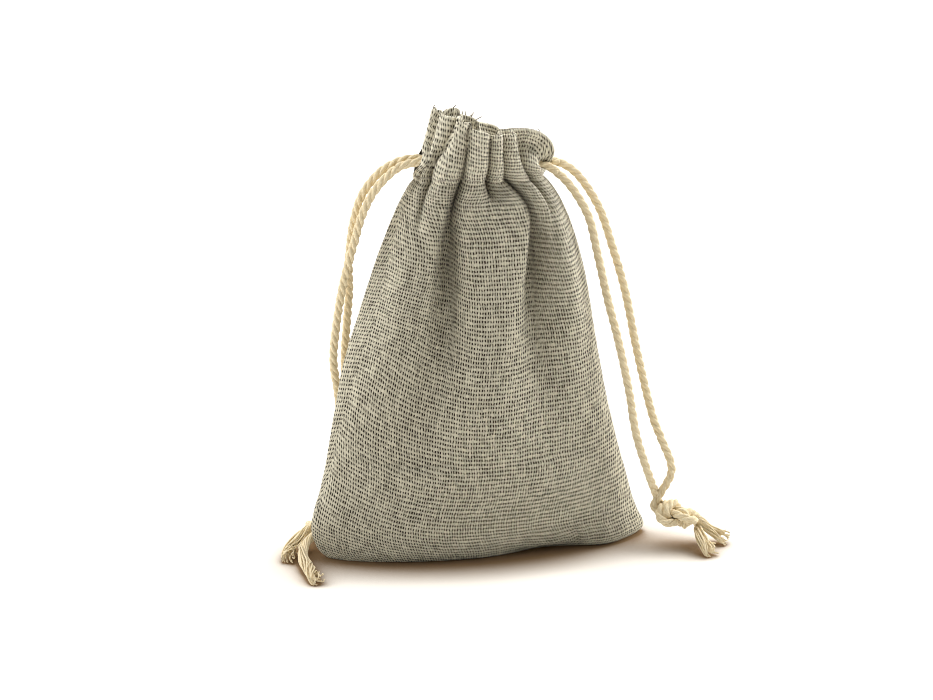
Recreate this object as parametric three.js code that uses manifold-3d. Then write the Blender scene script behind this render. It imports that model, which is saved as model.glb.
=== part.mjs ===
// Drawstring pouch: a small linen bag with two cotton drawstrings, standing with its neck gathered.
// Units are millimetres. +Z is up, the front faces -Y and the base rests on z = 0.

import * as THREE from "three";
import { mergeVertices } from "three/addons/utils/BufferGeometryUtils.js";
import Module from "manifold-3d";

const wasm = await Module();
wasm.setup();

// Cloth, cord and thread
const CLOTH = 1.0;
const CORD_DIAMETER = 2.5;
const THREAD_DIAMETER = 0.5;
const CLEARANCE = 0.3;

// Bag body: half width and half depth at the heights that shape it
const BASE_HALF_WIDTH = 39;
const BASE_HALF_DEPTH = 12;
const CORNER_HEIGHT = 6;
const CORNER_HALF_WIDTH = 49.5;
const CORNER_HALF_DEPTH = 15;
const BELLY_HEIGHT = 45;
const BELLY_HALF_WIDTH = 39;
const BELLY_HALF_DEPTH = 20;
const SHOULDER_HEIGHT = 86;
const SHOULDER_HALF_WIDTH = 29.5;
const SHOULDER_HALF_DEPTH = 15.5;
const TOP_HEIGHT = 129;

// Neck: the closed line that the drawstrings follow, the frill above it and the stitches below it
const NECK_HALF_WIDTH = 15;
const NECK_HALF_DEPTH = 6;
const FRILL_HEIGHT = 14.2;
const CASING_HEIGHT = 18.5;
const FRILL_NARROWING = 2.2;
const TUNNEL_SLACK = 0.7;
const SLOT_REACH = 6;
const SLOT_ANGLE = 0.65;

// Folds of the gathered cloth: place across, depth and width at these drops below the top
const FOLD_DROPS = [99, 69, 54, 40, 31, 25, 19, 0];
const FRONT_FOLDS = [
  {
    place: [-27, -23, -21, -19.4, -18.2, -17, -15.4, -9],
    depth: [0, 0, 0, 0, 0.4, 0.8, 1.4, 1.4],
    width: [6, 6, 5, 4, 3, 2.4, 2, 2],
  },
  {
    place: [-14.2, -13.3, -12.6, -12.3, -11.3, -9.6, -7.2, -5],
    depth: [0.2, 3.2, 5.8, 7.2, 6.6, 4, 2.6, 2.2],
    width: [9, 5, 3.7, 3.2, 3, 2.6, 2, 1.8],
  },
  {
    place: [3, 3, 3, 2.8, 2.4, 2, 1.6, 2],
    depth: [0, 0, 0, 0, 0.4, 1.8, 2.6, 2.2],
    width: [6, 5, 5, 4, 3, 2.6, 2.2, 1.8],
  },
  {
    place: [16.4, 15.2, 14.1, 13.8, 13.4, 11.6, 8, 5.6],
    depth: [0.2, 2.4, 4.6, 6.2, 5.8, 4, 2.6, 2.2],
    width: [9, 5, 3.6, 3, 2.8, 2.4, 2, 1.8],
  },
  {
    place: [27, 23, 21, 19.4, 18.2, 16.8, 14.4, 10],
    depth: [0, 0, 0, 0, 0.4, 0.8, 1.4, 1.4],
    width: [6, 6, 5, 4, 3, 2.4, 2, 2],
  },
];
const BACK_FOLDS = [
  {
    place: [-26, -23, -20, -18, -16.4, -14.8, -12.6, -9.5],
    depth: [0, 0, 0.1, 0.4, 0.6, 1, 1.6, 1.6],
    width: [6, 6, 5, 4, 3, 2.4, 2, 2],
  },
  {
    place: [-13, -12, -11.4, -10.2, -9, -7.6, -5.8, -4.5],
    depth: [0.1, 1.6, 3.2, 4.6, 4.8, 3.8, 2.4, 2],
    width: [9, 5.6, 3.8, 3, 2.8, 2.4, 2, 1.8],
  },
  {
    place: [6, 6, 6, 5.6, 4.8, 3.8, 2.6, 1.8],
    depth: [0.1, 1, 2.4, 3.8, 4.2, 3.6, 2.4, 2],
    width: [9, 5.6, 4, 3, 2.8, 2.4, 2, 1.8],
  },
  {
    place: [23, 21, 19, 17.4, 15.6, 13.6, 11.2, 8.4],
    depth: [0, 0.2, 0.5, 1, 1.4, 1.6, 1.8, 1.6],
    width: [6, 6, 5, 4, 3, 2.4, 2, 2],
  },
];
const NECK_SWELL = 0.8;
const SWELL_LENGTH = 25.5;
const LOBE_SWELL = [0, 0.9, 2, 2.8, 2.6, 2, 0.6, 0];
const LOBE_PLACE = 0.68;
const LOBE_WIDTH = 0.2;
const CASING_SWELL = 1.5;
const LENS_POWER = 1.25;

// Top edge of the frill: drop below the top at places across, none at the left side and most at the right
const FRILL_DROPS = [[-20, 0], [-12, 0.4], [-5, 2.8], [2, 5.2], [10, 5.6], [20, 7]];

// Side seams
const SEAM_WIDTH = 7;
const SEAM_LOW_END = 12;

// Knots and frayed ends
const KNOT_LENGTH = 13;
const KNOT_RADIUS = 3.9;
const KNOT_END_RADIUS = 2.2;
const KNOT_WRAP_TILT = 0.42;
const KNOT_WRAP_SHARE = 0.5;
const FRAY_RADIUS = 1.9;

// Fineness of the facets
const RING_POINTS = 90;
const WALL_RINGS = 14;
const CORD_SIDES = 8;
const THREAD_SIDES = 6;
const KNOT_SIDES = 18;
const STRAND_STEP = 8.5;
const RUN_STEP = 4.5;
const STITCH_STEP = 1.2;
const TUNNEL_STATIONS = 8;
const FINE_STEPS = 24;

// Sizes that follow from those above
const CORD_HEIGHT = TOP_HEIGHT - FRILL_HEIGHT;
const STITCH_HEIGHT = TOP_HEIGHT - CASING_HEIGHT;
const TUNNEL_RADIUS = CORD_DIAMETER / 2 + TUNNEL_SLACK;
const NECK_WALL = TUNNEL_RADIUS + CLOTH;
const SLOT_HALF = 1.5 * CORD_DIAMETER;
const STRAND_OFFSET = (CORD_DIAMETER + CLEARANCE) / 2;
const LEFT_CORD_HEIGHT = CORD_HEIGHT + STRAND_OFFSET;
const RIGHT_CORD_HEIGHT = CORD_HEIGHT - STRAND_OFFSET;
const PANEL_TOP = STITCH_HEIGHT - CLEARANCE;
const FOLD_HEIGHTS = FOLD_DROPS.map((drop) => TOP_HEIGHT - drop);
const SWELL_START_HEIGHT = STITCH_HEIGHT - SWELL_LENGTH;
const FRILL_LOW = TOP_HEIGHT - Math.max(...FRILL_DROPS.map(([, drop]) => drop));
const FAR = 400;

const LINEN = { color: 0x9d9585, roughness: 0.95, metalness: 0 };
const COTTON = { color: 0xdcc8a0, roughness: 0.9, metalness: 0 };
const THREAD = { color: 0x8f8778, roughness: 0.9, metalness: 0 };

const pouch = new THREE.Group();

function addPiece(name, geometry, look) {
  const mesh = new THREE.Mesh(geometry, new THREE.MeshStandardMaterial(look));
  mesh.name = name;
  pouch.add(mesh);
}

// Conversions between three.js geometry and solids that can be cut and joined

function toSolid(geometry) {
  const bare = geometry.clone();
  bare.deleteAttribute("normal");
  bare.deleteAttribute("uv");
  const merged = mergeVertices(bare, 1e-4);
  return new wasm.Manifold(new wasm.Mesh({
    numProp: 3,
    vertProperties: new Float32Array(merged.attributes.position.array),
    triVerts: new Uint32Array(merged.index.array),
  }));
}

function toGeometry(solid) {
  const mesh = solid.getMesh();
  const geometry = new THREE.BufferGeometry();
  geometry.setAttribute("position", new THREE.BufferAttribute(mesh.vertProperties, mesh.numProp));
  geometry.setIndex(new THREE.BufferAttribute(mesh.triVerts, 1));
  geometry.computeVertexNormals();
  return geometry;
}

// Half space in front of or behind the plane y = limit, on the side of the given sign
function halfSpace(sign, limit) {
  const box = new THREE.BoxGeometry(FAR, FAR, FAR);
  box.translate(0, sign * (limit + FAR / 2), 0);
  return toSolid(box);
}

// Closed skin over a stack of rings that all have the same number of points
function loft(rings) {
  const count = rings[0].length;
  const positions = [];
  const index = [];
  for (const ring of rings) {
    for (const point of ring) positions.push(point.x, point.y, point.z);
  }
  for (let level = 0; level < rings.length - 1; level++) {
    for (let i = 0; i < count; i++) {
      const next = (i + 1) % count;
      const low = level * count;
      const high = low + count;
      index.push(low + i, low + next, high + next);
      index.push(low + i, high + next, high + i);
    }
  }
  for (const ring of [rings[0], rings.at(-1)]) {
    const centre = new THREE.Vector3();
    for (const point of ring) centre.addScaledVector(point, 1 / count);
    positions.push(centre.x, centre.y, centre.z);
  }
  const bottom = rings.length * count;
  const topStart = bottom - count;
  for (let i = 0; i < count; i++) {
    const next = (i + 1) % count;
    index.push(bottom, next, i);
    index.push(bottom + 1, topStart + i, topStart + next);
  }
  const geometry = new THREE.BufferGeometry();
  geometry.setAttribute("position", new THREE.Float32BufferAttribute(positions, 3));
  geometry.setIndex(index);
  geometry.computeVertexNormals();
  return geometry;
}

// Smooth curve through chosen points
const through = (points) => new THREE.CatmullRomCurve3(points, false, "centripetal");

// Stretch of another curve between two shares of its length
class Stretch extends THREE.Curve {
  constructor(whole, from, to) {
    super();
    this.whole = whole;
    this.from = from;
    this.to = to;
  }

  getPoint(share, target = new THREE.Vector3()) {
    return this.whole.getPointAt(THREE.MathUtils.lerp(this.from, this.to, share), target);
  }
}

// Round tube along a curve
function tube(curve, diameter, sides, step) {
  const section = new THREE.Shape().absarc(0, 0, diameter / 2, 0, 2 * Math.PI, false);
  return new THREE.ExtrudeGeometry(section, {
    curveSegments: sides / 2,
    steps: Math.max(2, Math.ceil(curve.getLength() / step)),
    extrudePath: curve,
    bevelEnabled: false,
  });
}

const vectors = (list) => list.map(([x, y, z]) => new THREE.Vector3(x, y, z));

// Value on straight lines between chosen places
function between(at, places, values) {
  const next = Math.max(1, places.findIndex((place, i) => place >= at || i === places.length - 1));
  const share = (at - places[next - 1]) / (places[next] - places[next - 1]);
  return THREE.MathUtils.lerp(values[next - 1], values[next], THREE.MathUtils.clamp(share, 0, 1));
}

// Depth of all folds at a place across the front or the back, each one a bell
function foldDepth(x, sign, height) {
  let total = 0;
  for (const fold of sign < 0 ? FRONT_FOLDS : BACK_FOLDS) {
    const away = (x - between(height, FOLD_HEIGHTS, fold.place)) / between(height, FOLD_HEIGHTS, fold.width);
    total += between(height, FOLD_HEIGHTS, fold.depth) * Math.exp(-away * away);
  }
  return total;
}

// How far the body and the casing stand out from their plain oval
function bodySwell(x, sign, section) {
  const rise = THREE.MathUtils.smoothstep(section.height, SWELL_START_HEIGHT, STITCH_HEIGHT);
  const aside = (Math.abs(x) / section.halfWidth - LOBE_PLACE) / LOBE_WIDTH;
  const lobe = between(section.height, FOLD_HEIGHTS, LOBE_SWELL) * Math.exp(-aside * aside);
  return NECK_SWELL * rise + lobe - foldDepth(x, sign, section.height);
}

function casingSwell(x, sign, section) {
  return Math.max(0, CASING_SWELL - foldDepth(x, sign, section.height));
}

const noSwell = () => 0;

// Cross-sections of the bag: a pointed oval whose outline is pushed in and out by a swell

function ovalPoint(theta, section, swell, standOff = 0) {
  const across = Math.cos(theta);
  const along = Math.sin(theta);
  const x = section.halfWidth * across;
  const y = section.halfDepth * Math.sign(along) * Math.abs(along) ** LENS_POWER;
  const outward = new THREE.Vector2(across * section.halfDepth, along * section.halfWidth).normalize();
  const out = swell(x, Math.sign(along), section) + standOff;
  return new THREE.Vector3(x + outward.x * out, y + outward.y * out, section.height);
}

function ring(section, swell) {
  const points = [];
  for (let i = 0; i < RING_POINTS; i++) {
    const theta = (2 * Math.PI * i) / RING_POINTS;
    points.push(ovalPoint(theta, section, swell));
  }
  return points;
}

// Wall of the body from the base to the stitches, as half width, half depth and height
const wallProfile = through(vectors([
  [BASE_HALF_WIDTH, BASE_HALF_DEPTH, 0],
  [CORNER_HALF_WIDTH, CORNER_HALF_DEPTH, CORNER_HEIGHT],
  [BELLY_HALF_WIDTH, BELLY_HALF_DEPTH, BELLY_HEIGHT],
  [SHOULDER_HALF_WIDTH, SHOULDER_HALF_DEPTH, SHOULDER_HEIGHT],
  [NECK_HALF_WIDTH + NECK_WALL, NECK_HALF_DEPTH + NECK_WALL, PANEL_TOP],
]));

// Section of the body at a share of the way up, moved inwards square to the wall
function wallSection(share, inset) {
  const point = wallProfile.getPoint(share);
  const slope = wallProfile.getTangent(share);
  const sideways = Math.hypot(slope.x, slope.z);
  const frontways = Math.hypot(slope.y, slope.z);
  return {
    halfWidth: point.x - (inset * slope.z) / sideways,
    halfDepth: point.y - (inset * slope.z) / frontways,
    height: point.z + (inset * slope.x) / sideways,
  };
}

function bodyHalf(sign) {
  const outer = [];
  const inner = [];
  for (let level = 0; level <= WALL_RINGS; level++) {
    const share = level / WALL_RINGS;
    outer.push(ring(wallSection(share, 0), bodySwell));
    inner.push(ring(wallSection(share, CLOTH), bodySwell));
  }
  const mouth = { ...wallSection(1, CLOTH), height: STITCH_HEIGHT + CLOTH };
  inner.push(ring(mouth, bodySwell));
  const shell = toSolid(loft(outer)).subtract(toSolid(loft(inner)));
  return toGeometry(shell.intersect(halfSpace(sign, CLEARANCE / 2)));
}

addPiece("front_panel", bodyHalf(-1), LINEN);
addPiece("back_panel", bodyHalf(1), LINEN);

// Side seams: the two edges of the cloth turned in and sewn together, a fin that points inwards

// Half width of the inside of the body where a fin of the given half thickness just clears it
function finEdge(section, halfThickness) {
  const along = ((halfThickness + CLEARANCE) / section.halfDepth) ** (1 / LENS_POWER);
  return section.halfWidth * Math.sqrt(1 - along * along);
}

function seamSections() {
  const sections = [];
  for (let level = 0; level <= WALL_RINGS; level++) {
    const section = wallSection(level / WALL_RINGS, CLOTH);
    if (section.height > SEAM_LOW_END && section.height < PANEL_TOP) sections.push(section);
  }
  return sections;
}

for (const [side, sign] of [["left", -1], ["right", 1]]) {
  const rings = [];
  const threadPoints = [];
  const threadOut = CLOTH + CLEARANCE + THREAD_DIAMETER / 2;
  for (const section of seamSections()) {
    const edge = finEdge(section, CLOTH);
    const root = edge - SEAM_WIDTH;
    const z = section.height;
    rings.push(vectors([
      [root, -CLOTH, z],
      [edge, -CLOTH, z],
      [edge, CLOTH, z],
      [root, CLOTH, z],
    ]));
    threadPoints.push(new THREE.Vector3(sign * (root + SEAM_WIDTH / 2), -threadOut, z));
  }
  const fin = loft(rings);
  if (sign < 0) fin.rotateZ(Math.PI);
  addPiece(`${side}_side_seam`, fin, LINEN);
  const length = threadPoints.at(-1).z - threadPoints[0].z;
  const thread = tube(through(threadPoints), THREAD_DIAMETER, THREAD_SIDES, length / WALL_RINGS);
  addPiece(`${side}_seam_stitch`, thread, THREAD);
}

// Casing: the hem folded inwards over the drawstrings, with a hollow tunnel that is open at both slots

function neckSection(height, outset) {
  const climb = Math.max(0, (height - CORD_HEIGHT) / (TOP_HEIGHT - CORD_HEIGHT));
  const narrowing = FRILL_NARROWING * climb * climb;
  return { halfWidth: NECK_HALF_WIDTH + outset - narrowing, halfDepth: NECK_HALF_DEPTH + outset, height };
}

function neckColumn(levels, outset, swell) {
  return toSolid(loft(levels.map((height) => ring(neckSection(height, outset), swell))));
}

// Outside of the casing, whose highest ring follows the line of the frill
function casingOutside() {
  const middle = (CORD_HEIGHT + FRILL_LOW) / 2;
  const rings = [STITCH_HEIGHT, CORD_HEIGHT, middle].map((height) => ring(neckSection(height, NECK_WALL), casingSwell));
  const places = FRILL_DROPS.map(([place]) => place);
  const heights = FRILL_DROPS.map(([, drop]) => TOP_HEIGHT - drop);
  const crest = ring(neckSection(FRILL_LOW, NECK_WALL), casingSwell);
  for (const point of crest) point.z = between(point.x, places, heights);
  rings.push(crest);
  return toSolid(loft(rings));
}

// Gaps at the two sides of the casing, where the drawstrings come out
function slots() {
  const gap = new THREE.BoxGeometry(FAR, 2 * SLOT_HALF, FAR);
  const offset = NECK_HALF_WIDTH - SLOT_REACH + FAR / 2;
  const left = toSolid(gap.clone().translate(-offset, 0, 0));
  const right = toSolid(gap.clone().translate(offset, 0, 0));
  return left.add(right);
}

function casingHalf(sign) {
  const tunnelLow = STITCH_HEIGHT + CLOTH;
  const tunnelHigh = FRILL_LOW - CLOTH;
  const throatLevels = [STITCH_HEIGHT - CLOTH, CORD_HEIGHT, TOP_HEIGHT + CLOTH];
  const throat = neckColumn(throatLevels, -NECK_WALL, noSwell);
  const tunnelOutside = neckColumn([tunnelLow, CORD_HEIGHT, tunnelHigh], TUNNEL_RADIUS, casingSwell);
  const tunnelInside = neckColumn([tunnelLow - CLOTH, CORD_HEIGHT, tunnelHigh + CLOTH], -TUNNEL_RADIUS, noSwell);
  const tunnel = tunnelOutside.subtract(tunnelInside);
  const casing = casingOutside().subtract(throat).subtract(tunnel).subtract(slots());
  return toGeometry(casing.intersect(halfSpace(sign, CLEARANCE / 2)));
}

addPiece("front_casing", casingHalf(-1), LINEN);
addPiece("back_casing", casingHalf(1), LINEN);

// Row of stitches that closes the tunnel: one thread laid along the outside of the gathers
function casingStitch(sign) {
  const height = STITCH_HEIGHT + CLOTH;
  const section = neckSection(height, NECK_WALL);
  const standOff = CLEARANCE + THREAD_DIAMETER / 2;
  const points = [];
  for (let i = 0; i <= RING_POINTS / 2; i++) {
    const theta = (2 * Math.PI * i) / RING_POINTS;
    const point = ovalPoint(sign * theta, section, casingSwell, standOff);
    if (Math.abs(point.y) > SLOT_HALF) points.push(point);
  }
  return tube(through(points), THREAD_DIAMETER, THREAD_SIDES, STITCH_STEP);
}

addPiece("front_casing_stitch", casingStitch(-1), THREAD);
addPiece("back_casing_stitch", casingStitch(1), THREAD);

// Drawstrings: each cord goes round in both tunnels, turns back at the far slot and leaves at its own

const CORDS = [
  {
    side: "left",
    sign: -1,
    height: LEFT_CORD_HEIGHT,
    knotCentre: [-42.0, 14.0, 5.4],
    knotDirection: [-0.45, -0.82, -0.2],
    front: {
      route: [
        [-20.5, -1.4, 115.4], [-23.5, -1.4, 114.2], [-29.4, -0.5, 108.3], [-33.0, 0.5, 101.1],
        [-34.9, 1.8, 93.8], [-36.8, 3.2, 86.3], [-38.3, 5.0, 78.6], [-39.6, 6.5, 69.5],
        [-40.7, 7.6, 57.3], [-39.6, 8.6, 48.5], [-38.6, 10.5, 40.0], [-38.6, 11.6, 28.0],
        [-40.4, 12.4, 16.0], [-41.6, 13.2, 8.0],
      ],
      tail: [
        [-44.6, 10.0, 4.2], [-50.0, 4.5, 3.2], [-52.5, -4.0, 2.6], [-52.2, -13.0, 2.3],
        [-51.1, -22.0, 2.2],
      ],
    },
    back: {
      route: [
        [-20.5, 1.4, 116.2], [-23.5, 1.6, 115.2], [-27.5, 2.0, 112.8], [-32.5, 3.0, 106.3],
        [-35.0, 4.2, 97.6], [-36.0, 6.0, 87.0], [-35.8, 7.5, 77.9], [-36.3, 9.0, 68.6],
        [-36.8, 10.8, 58.0], [-36.4, 13.2, 44.0], [-37.0, 14.8, 28.0], [-39.4, 15.8, 16.0],
        [-41.0, 15.6, 8.0],
      ],
      tail: [[-44.8, 12.4, 5.2], [-50.2, 8.7, 4.8], [-54.6, 3.2, 3.4], [-57.0, -3.5, 2.2]],
    },
  },
  {
    side: "right",
    sign: 1,
    height: RIGHT_CORD_HEIGHT,
    knotCentre: [57.6, -14.0, 9.4],
    knotDirection: [0.68, -0.2, -0.7],
    front: {
      route: [
        [20.0, -1.4, 113.1], [23.1, -1.7, 111.0], [26.5, -2.3, 107.5], [31.5, -4.0, 98.9],
        [34.2, -5.5, 87.4], [37.0, -7.0, 74.3], [39.9, -8.3, 62.6], [43.0, -9.8, 47.7],
        [45.2, -11.0, 34.2], [48.5, -12.0, 23.3], [51.0, -13.0, 17.1], [54.2, -13.8, 12.4],
      ],
      tail: [[60.5, -15.9, 6.4], [62.8, -20.5, 4.0], [64.3, -26.5, 2.2]],
    },
    back: {
      route: [
        [20.5, 1.4, 114.0], [24.0, 1.4, 113.6], [29.0, 1.2, 110.5], [35.6, 0.0, 100.8],
        [39.6, -1.5, 89.1], [43.3, -3.0, 75.9], [46.7, -5.0, 58.2], [51.6, -7.5, 37.2],
        [53.7, -9.0, 31.4], [56.3, -11.0, 22.3], [57.3, -12.0, 16.2], [57.2, -13.2, 11.6],
      ],
      tail: [[61.8, -14.4, 6.8], [67.0, -14.6, 4.6], [72.5, -17.0, 2.2]],
    },
  },
];

// Points of a drawstring in one tunnel, from the middle of its turn at the far slot to its own slot
function tunnelPoints(cord, sign) {
  const line = { halfWidth: NECK_HALF_WIDTH, halfDepth: NECK_HALF_DEPTH, height: cord.height };
  const turn = -cord.sign * (NECK_HALF_WIDTH + CORD_DIAMETER / 2);
  const points = [
    new THREE.Vector3(turn, (sign * CLEARANCE) / 2, cord.height),
    new THREE.Vector3(turn, sign * STRAND_OFFSET, cord.height),
  ];
  for (let i = TUNNEL_STATIONS; i >= 0; i--) {
    const theta = SLOT_ANGLE + ((Math.PI - 2 * SLOT_ANGLE) * i) / TUNNEL_STATIONS;
    const point = ovalPoint(theta, line, noSwell);
    point.x *= cord.sign;
    point.y *= sign;
    points.push(point);
  }
  return points;
}

// Run in the tunnel and free strand of one cord end, parted at the second point of its chosen route
function cordEnd(cord, sign, route) {
  const hidden = tunnelPoints(cord, sign);
  const curve = through([...hidden, ...vectors(route)]);
  const lengths = curve.getLengths((curve.points.length - 1) * FINE_STEPS);
  const total = lengths.at(-1);
  const parting = lengths[(hidden.length + 1) * FINE_STEPS];
  const run = new Stretch(curve, 0, (parting - CLEARANCE / 2) / total);
  const strand = new Stretch(curve, (parting + CLEARANCE / 2) / total, 1);
  return {
    run: tube(run, CORD_DIAMETER, CORD_SIDES, RUN_STEP),
    strand: tube(strand, CORD_DIAMETER, CORD_SIDES, STRAND_STEP),
  };
}

// Overhand knot: a thick core with two slanted wraps, grown by a margin when it cuts its neighbours
function knotSolid(cord, margin) {
  const half = KNOT_LENGTH / 2 + margin;
  const wrapRadius = CORD_DIAMETER / 2 + margin;
  const core = new THREE.LatheGeometry([
    new THREE.Vector2(0, -half),
    new THREE.Vector2(KNOT_END_RADIUS + margin, -half),
    new THREE.Vector2(KNOT_RADIUS - CORD_DIAMETER / 2 + margin, 0),
    new THREE.Vector2(KNOT_END_RADIUS + margin, half),
    new THREE.Vector2(0, half),
  ], KNOT_SIDES);
  core.rotateX(Math.PI / 2);
  let solid = toSolid(core);
  for (const end of [-1, 1]) {
    const wrapRing = KNOT_RADIUS - CORD_DIAMETER / 2;
    const wrap = new THREE.TorusGeometry(wrapRing, wrapRadius, CORD_SIDES, KNOT_SIDES);
    wrap.rotateX(end * KNOT_WRAP_TILT);
    wrap.translate(0, 0, end * (KNOT_LENGTH / 2 - CORD_DIAMETER) * KNOT_WRAP_SHARE);
    solid = solid.add(toSolid(wrap));
  }
  const geometry = toGeometry(solid);
  const direction = new THREE.Vector3(...cord.knotDirection).normalize();
  const turn = new THREE.Quaternion().setFromUnitVectors(new THREE.Vector3(0, 0, 1), direction);
  geometry.applyQuaternion(turn);
  geometry.translate(...cord.knotCentre);
  return toSolid(geometry);
}

// Frayed end of a cord: a tube that widens to its tip
function frayedTail(points) {
  const curve = through(vectors(points));
  const steps = points.length * 2;
  const frames = curve.computeFrenetFrames(steps, false);
  const rings = [];
  for (let level = 0; level <= steps; level++) {
    const share = level / steps;
    const radius = THREE.MathUtils.lerp(CORD_DIAMETER / 2, FRAY_RADIUS, share);
    const centre = curve.getPointAt(share);
    const circle = [];
    for (let i = 0; i < CORD_SIDES; i++) {
      const angle = (2 * Math.PI * i) / CORD_SIDES;
      const point = centre.clone();
      point.addScaledVector(frames.normals[level], radius * Math.cos(angle));
      point.addScaledVector(frames.binormals[level], radius * Math.sin(angle));
      circle.push(point);
    }
    rings.push(circle);
  }
  return loft(rings);
}

for (const cord of CORDS) {
  const knotRoom = knotSolid(cord, CLEARANCE);
  for (const [end, sign] of [["front", -1], ["back", 1]]) {
    const { route, tail } = cord[end];
    const { run, strand } = cordEnd(cord, sign, route);
    addPiece(`${cord.side}_cord_${end}_run`, run, COTTON);
    addPiece(`${cord.side}_${end}_strand`, toGeometry(toSolid(strand).subtract(knotRoom)), COTTON);
    addPiece(`${cord.side}_${end}_tail`, toGeometry(toSolid(frayedTail(tail)).subtract(knotRoom)), COTTON);
  }
  addPiece(`${cord.side}_knot`, toGeometry(knotSolid(cord, 0)), COTTON);
}

export default pouch;
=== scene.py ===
# %% [markdown]
# # A small linen drawstring pouch
# The pouch is a flat bag of plain-woven linen that stands filled on a table. Its neck is gathered
# on two twisted cotton cords, which leave at opposite sides and end in knots and frayed tails.
# Everything below is worked out with numpy in millimetres and handed to Blender in metres.

import math

import bpy
import numpy as np
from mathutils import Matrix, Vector


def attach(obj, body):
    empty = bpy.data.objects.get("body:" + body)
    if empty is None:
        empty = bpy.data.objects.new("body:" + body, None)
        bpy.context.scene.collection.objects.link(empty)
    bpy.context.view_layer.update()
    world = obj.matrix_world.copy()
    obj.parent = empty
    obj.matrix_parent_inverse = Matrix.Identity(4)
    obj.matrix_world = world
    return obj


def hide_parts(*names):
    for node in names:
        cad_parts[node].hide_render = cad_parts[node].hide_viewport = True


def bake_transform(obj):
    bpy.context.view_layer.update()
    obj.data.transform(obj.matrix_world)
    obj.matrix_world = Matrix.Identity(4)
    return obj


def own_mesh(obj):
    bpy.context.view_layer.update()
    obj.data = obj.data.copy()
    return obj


MM = 0.001
scene = bpy.context.scene
scene.view_settings.view_transform = "Standard"
scene.cycles.filter_width = 0.9
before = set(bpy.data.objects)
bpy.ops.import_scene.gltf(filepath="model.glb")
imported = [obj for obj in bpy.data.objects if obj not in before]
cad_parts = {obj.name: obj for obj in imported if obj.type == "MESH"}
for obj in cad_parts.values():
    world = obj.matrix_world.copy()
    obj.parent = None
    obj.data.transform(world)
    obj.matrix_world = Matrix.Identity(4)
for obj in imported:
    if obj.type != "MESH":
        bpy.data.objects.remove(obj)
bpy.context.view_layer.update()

# %% [markdown]
# ## The camera
# The photograph looks at the pouch from a little to the left and from slightly above, with a long
# lens. A camera can be aimed with a constraint, but a rotation worked out from the viewing
# direction leaves nothing live in the file.

# %% Camera at the photograph's angle
AZIMUTH = math.radians(-13)
ELEVATION = math.radians(16)
DISTANCE = 620 * MM
FOCAL_LENGTH = 83
AIM = Vector((-3.1, 0, 60)) * MM

sight = Vector((
    -math.sin(AZIMUTH) * math.cos(ELEVATION),
    math.cos(AZIMUTH) * math.cos(ELEVATION),
    -math.sin(ELEVATION),
))
camera_data = bpy.data.cameras.new("camera")
camera_data.lens = FOCAL_LENGTH
camera_data.sensor_width = 36
camera = bpy.data.objects.new("camera", camera_data)
camera.location = AIM - sight * DISTANCE
camera.rotation_euler = sight.to_track_quat("-Z", "Y").to_euler()
scene.collection.objects.link(camera)
scene.camera = camera
print("camera at", [round(c, 3) for c in camera.location])

# %% [markdown]
# ## Curves and tubes
# Cords, sewing thread and loose fibres are all thin tubes along curves. Blender's own curves could
# give them, but mesh tubes let the twist of the cord be real geometry. One function lays a smooth
# curve through chosen points, one finds the cross directions along it and one skins many tubes at
# once.

# %% Curves through chosen points


def smooth_values(at, knots, values):
    """Cubic pieces between the knots; the slope at a knot is that of the values around it."""
    knots = np.asarray(knots, float)
    table = np.asarray(values, float).reshape(len(knots), -1)
    slope = np.gradient(table, knots, axis=0)
    place = np.clip(np.searchsorted(knots, at, side="right") - 1, 0, len(knots) - 2)
    span = (knots[place + 1] - knots[place])[:, None]
    t = (np.asarray(at, float)[:, None] - knots[place][:, None]) / span
    start = table[place] * (2 * t**3 - 3 * t**2 + 1) + slope[place] * span * (t**3 - 2 * t**2 + t)
    end = table[place + 1] * (3 * t**2 - 2 * t**3) + slope[place + 1] * span * (t**3 - t**2)
    result = start + end
    return result[:, 0] if np.ndim(values) == 1 else result


def lengths_along(points):
    """Distance travelled from the first point to each point."""
    steps = np.linalg.norm(np.diff(points, axis=0), axis=1)
    return np.concatenate([[0.0], np.cumsum(steps)])


def between_rows(at, knots, rows):
    """Each column of the rows, read in straight lines at the given places among the knots."""
    return np.stack([np.interp(at, knots, column) for column in np.asarray(rows).T], axis=-1)


def spread_evenly(line, count):
    """The same line with its points moved to equal steps of length."""
    travelled = lengths_along(line)
    return between_rows(np.linspace(0, travelled[-1], count), travelled, line)


def path_through(points, step):
    """Smooth curve through the points, laid out again in equal steps of length."""
    points = np.asarray(points, float)
    chords = np.linalg.norm(np.diff(points, axis=0), axis=1)
    knots = np.concatenate([[0.0], np.cumsum(np.sqrt(chords))])
    fine = smooth_values(np.linspace(0, knots[-1], 40 * len(points)), knots, points)
    return spread_evenly(fine, max(2, round(lengths_along(fine)[-1] / step)) + 1)


def unit(vectors):
    """Each vector divided by its own length."""
    return vectors / np.maximum(np.linalg.norm(vectors, axis=-1, keepdims=True), 1e-12)


def smoothstep(value, low, high):
    """Zero below low, one above high, and three t squared minus two t cubed between them."""
    t = np.clip((value - low) / (high - low), 0, 1)
    return t * t * (3 - 2 * t)


# %% Many tubes at once


def cross_directions(paths):
    """Two directions square to each path, the first one carried along from point to point."""
    along = unit(np.gradient(paths, axis=1))
    steep = np.abs(along[:, 0, 2:3]) > 0.9
    helper = np.where(steep, [1.0, 0.0, 0.0], [0.0, 0.0, 1.0])
    first = np.empty_like(paths)
    first[:, 0] = unit(np.cross(along[:, 0], helper))
    for k in range(1, paths.shape[1]):
        flat = first[:, k - 1] - along[:, k] * np.sum(first[:, k - 1] * along[:, k], -1, keepdims=True)
        first[:, k] = unit(flat)
    return first, np.cross(along, first)


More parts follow.
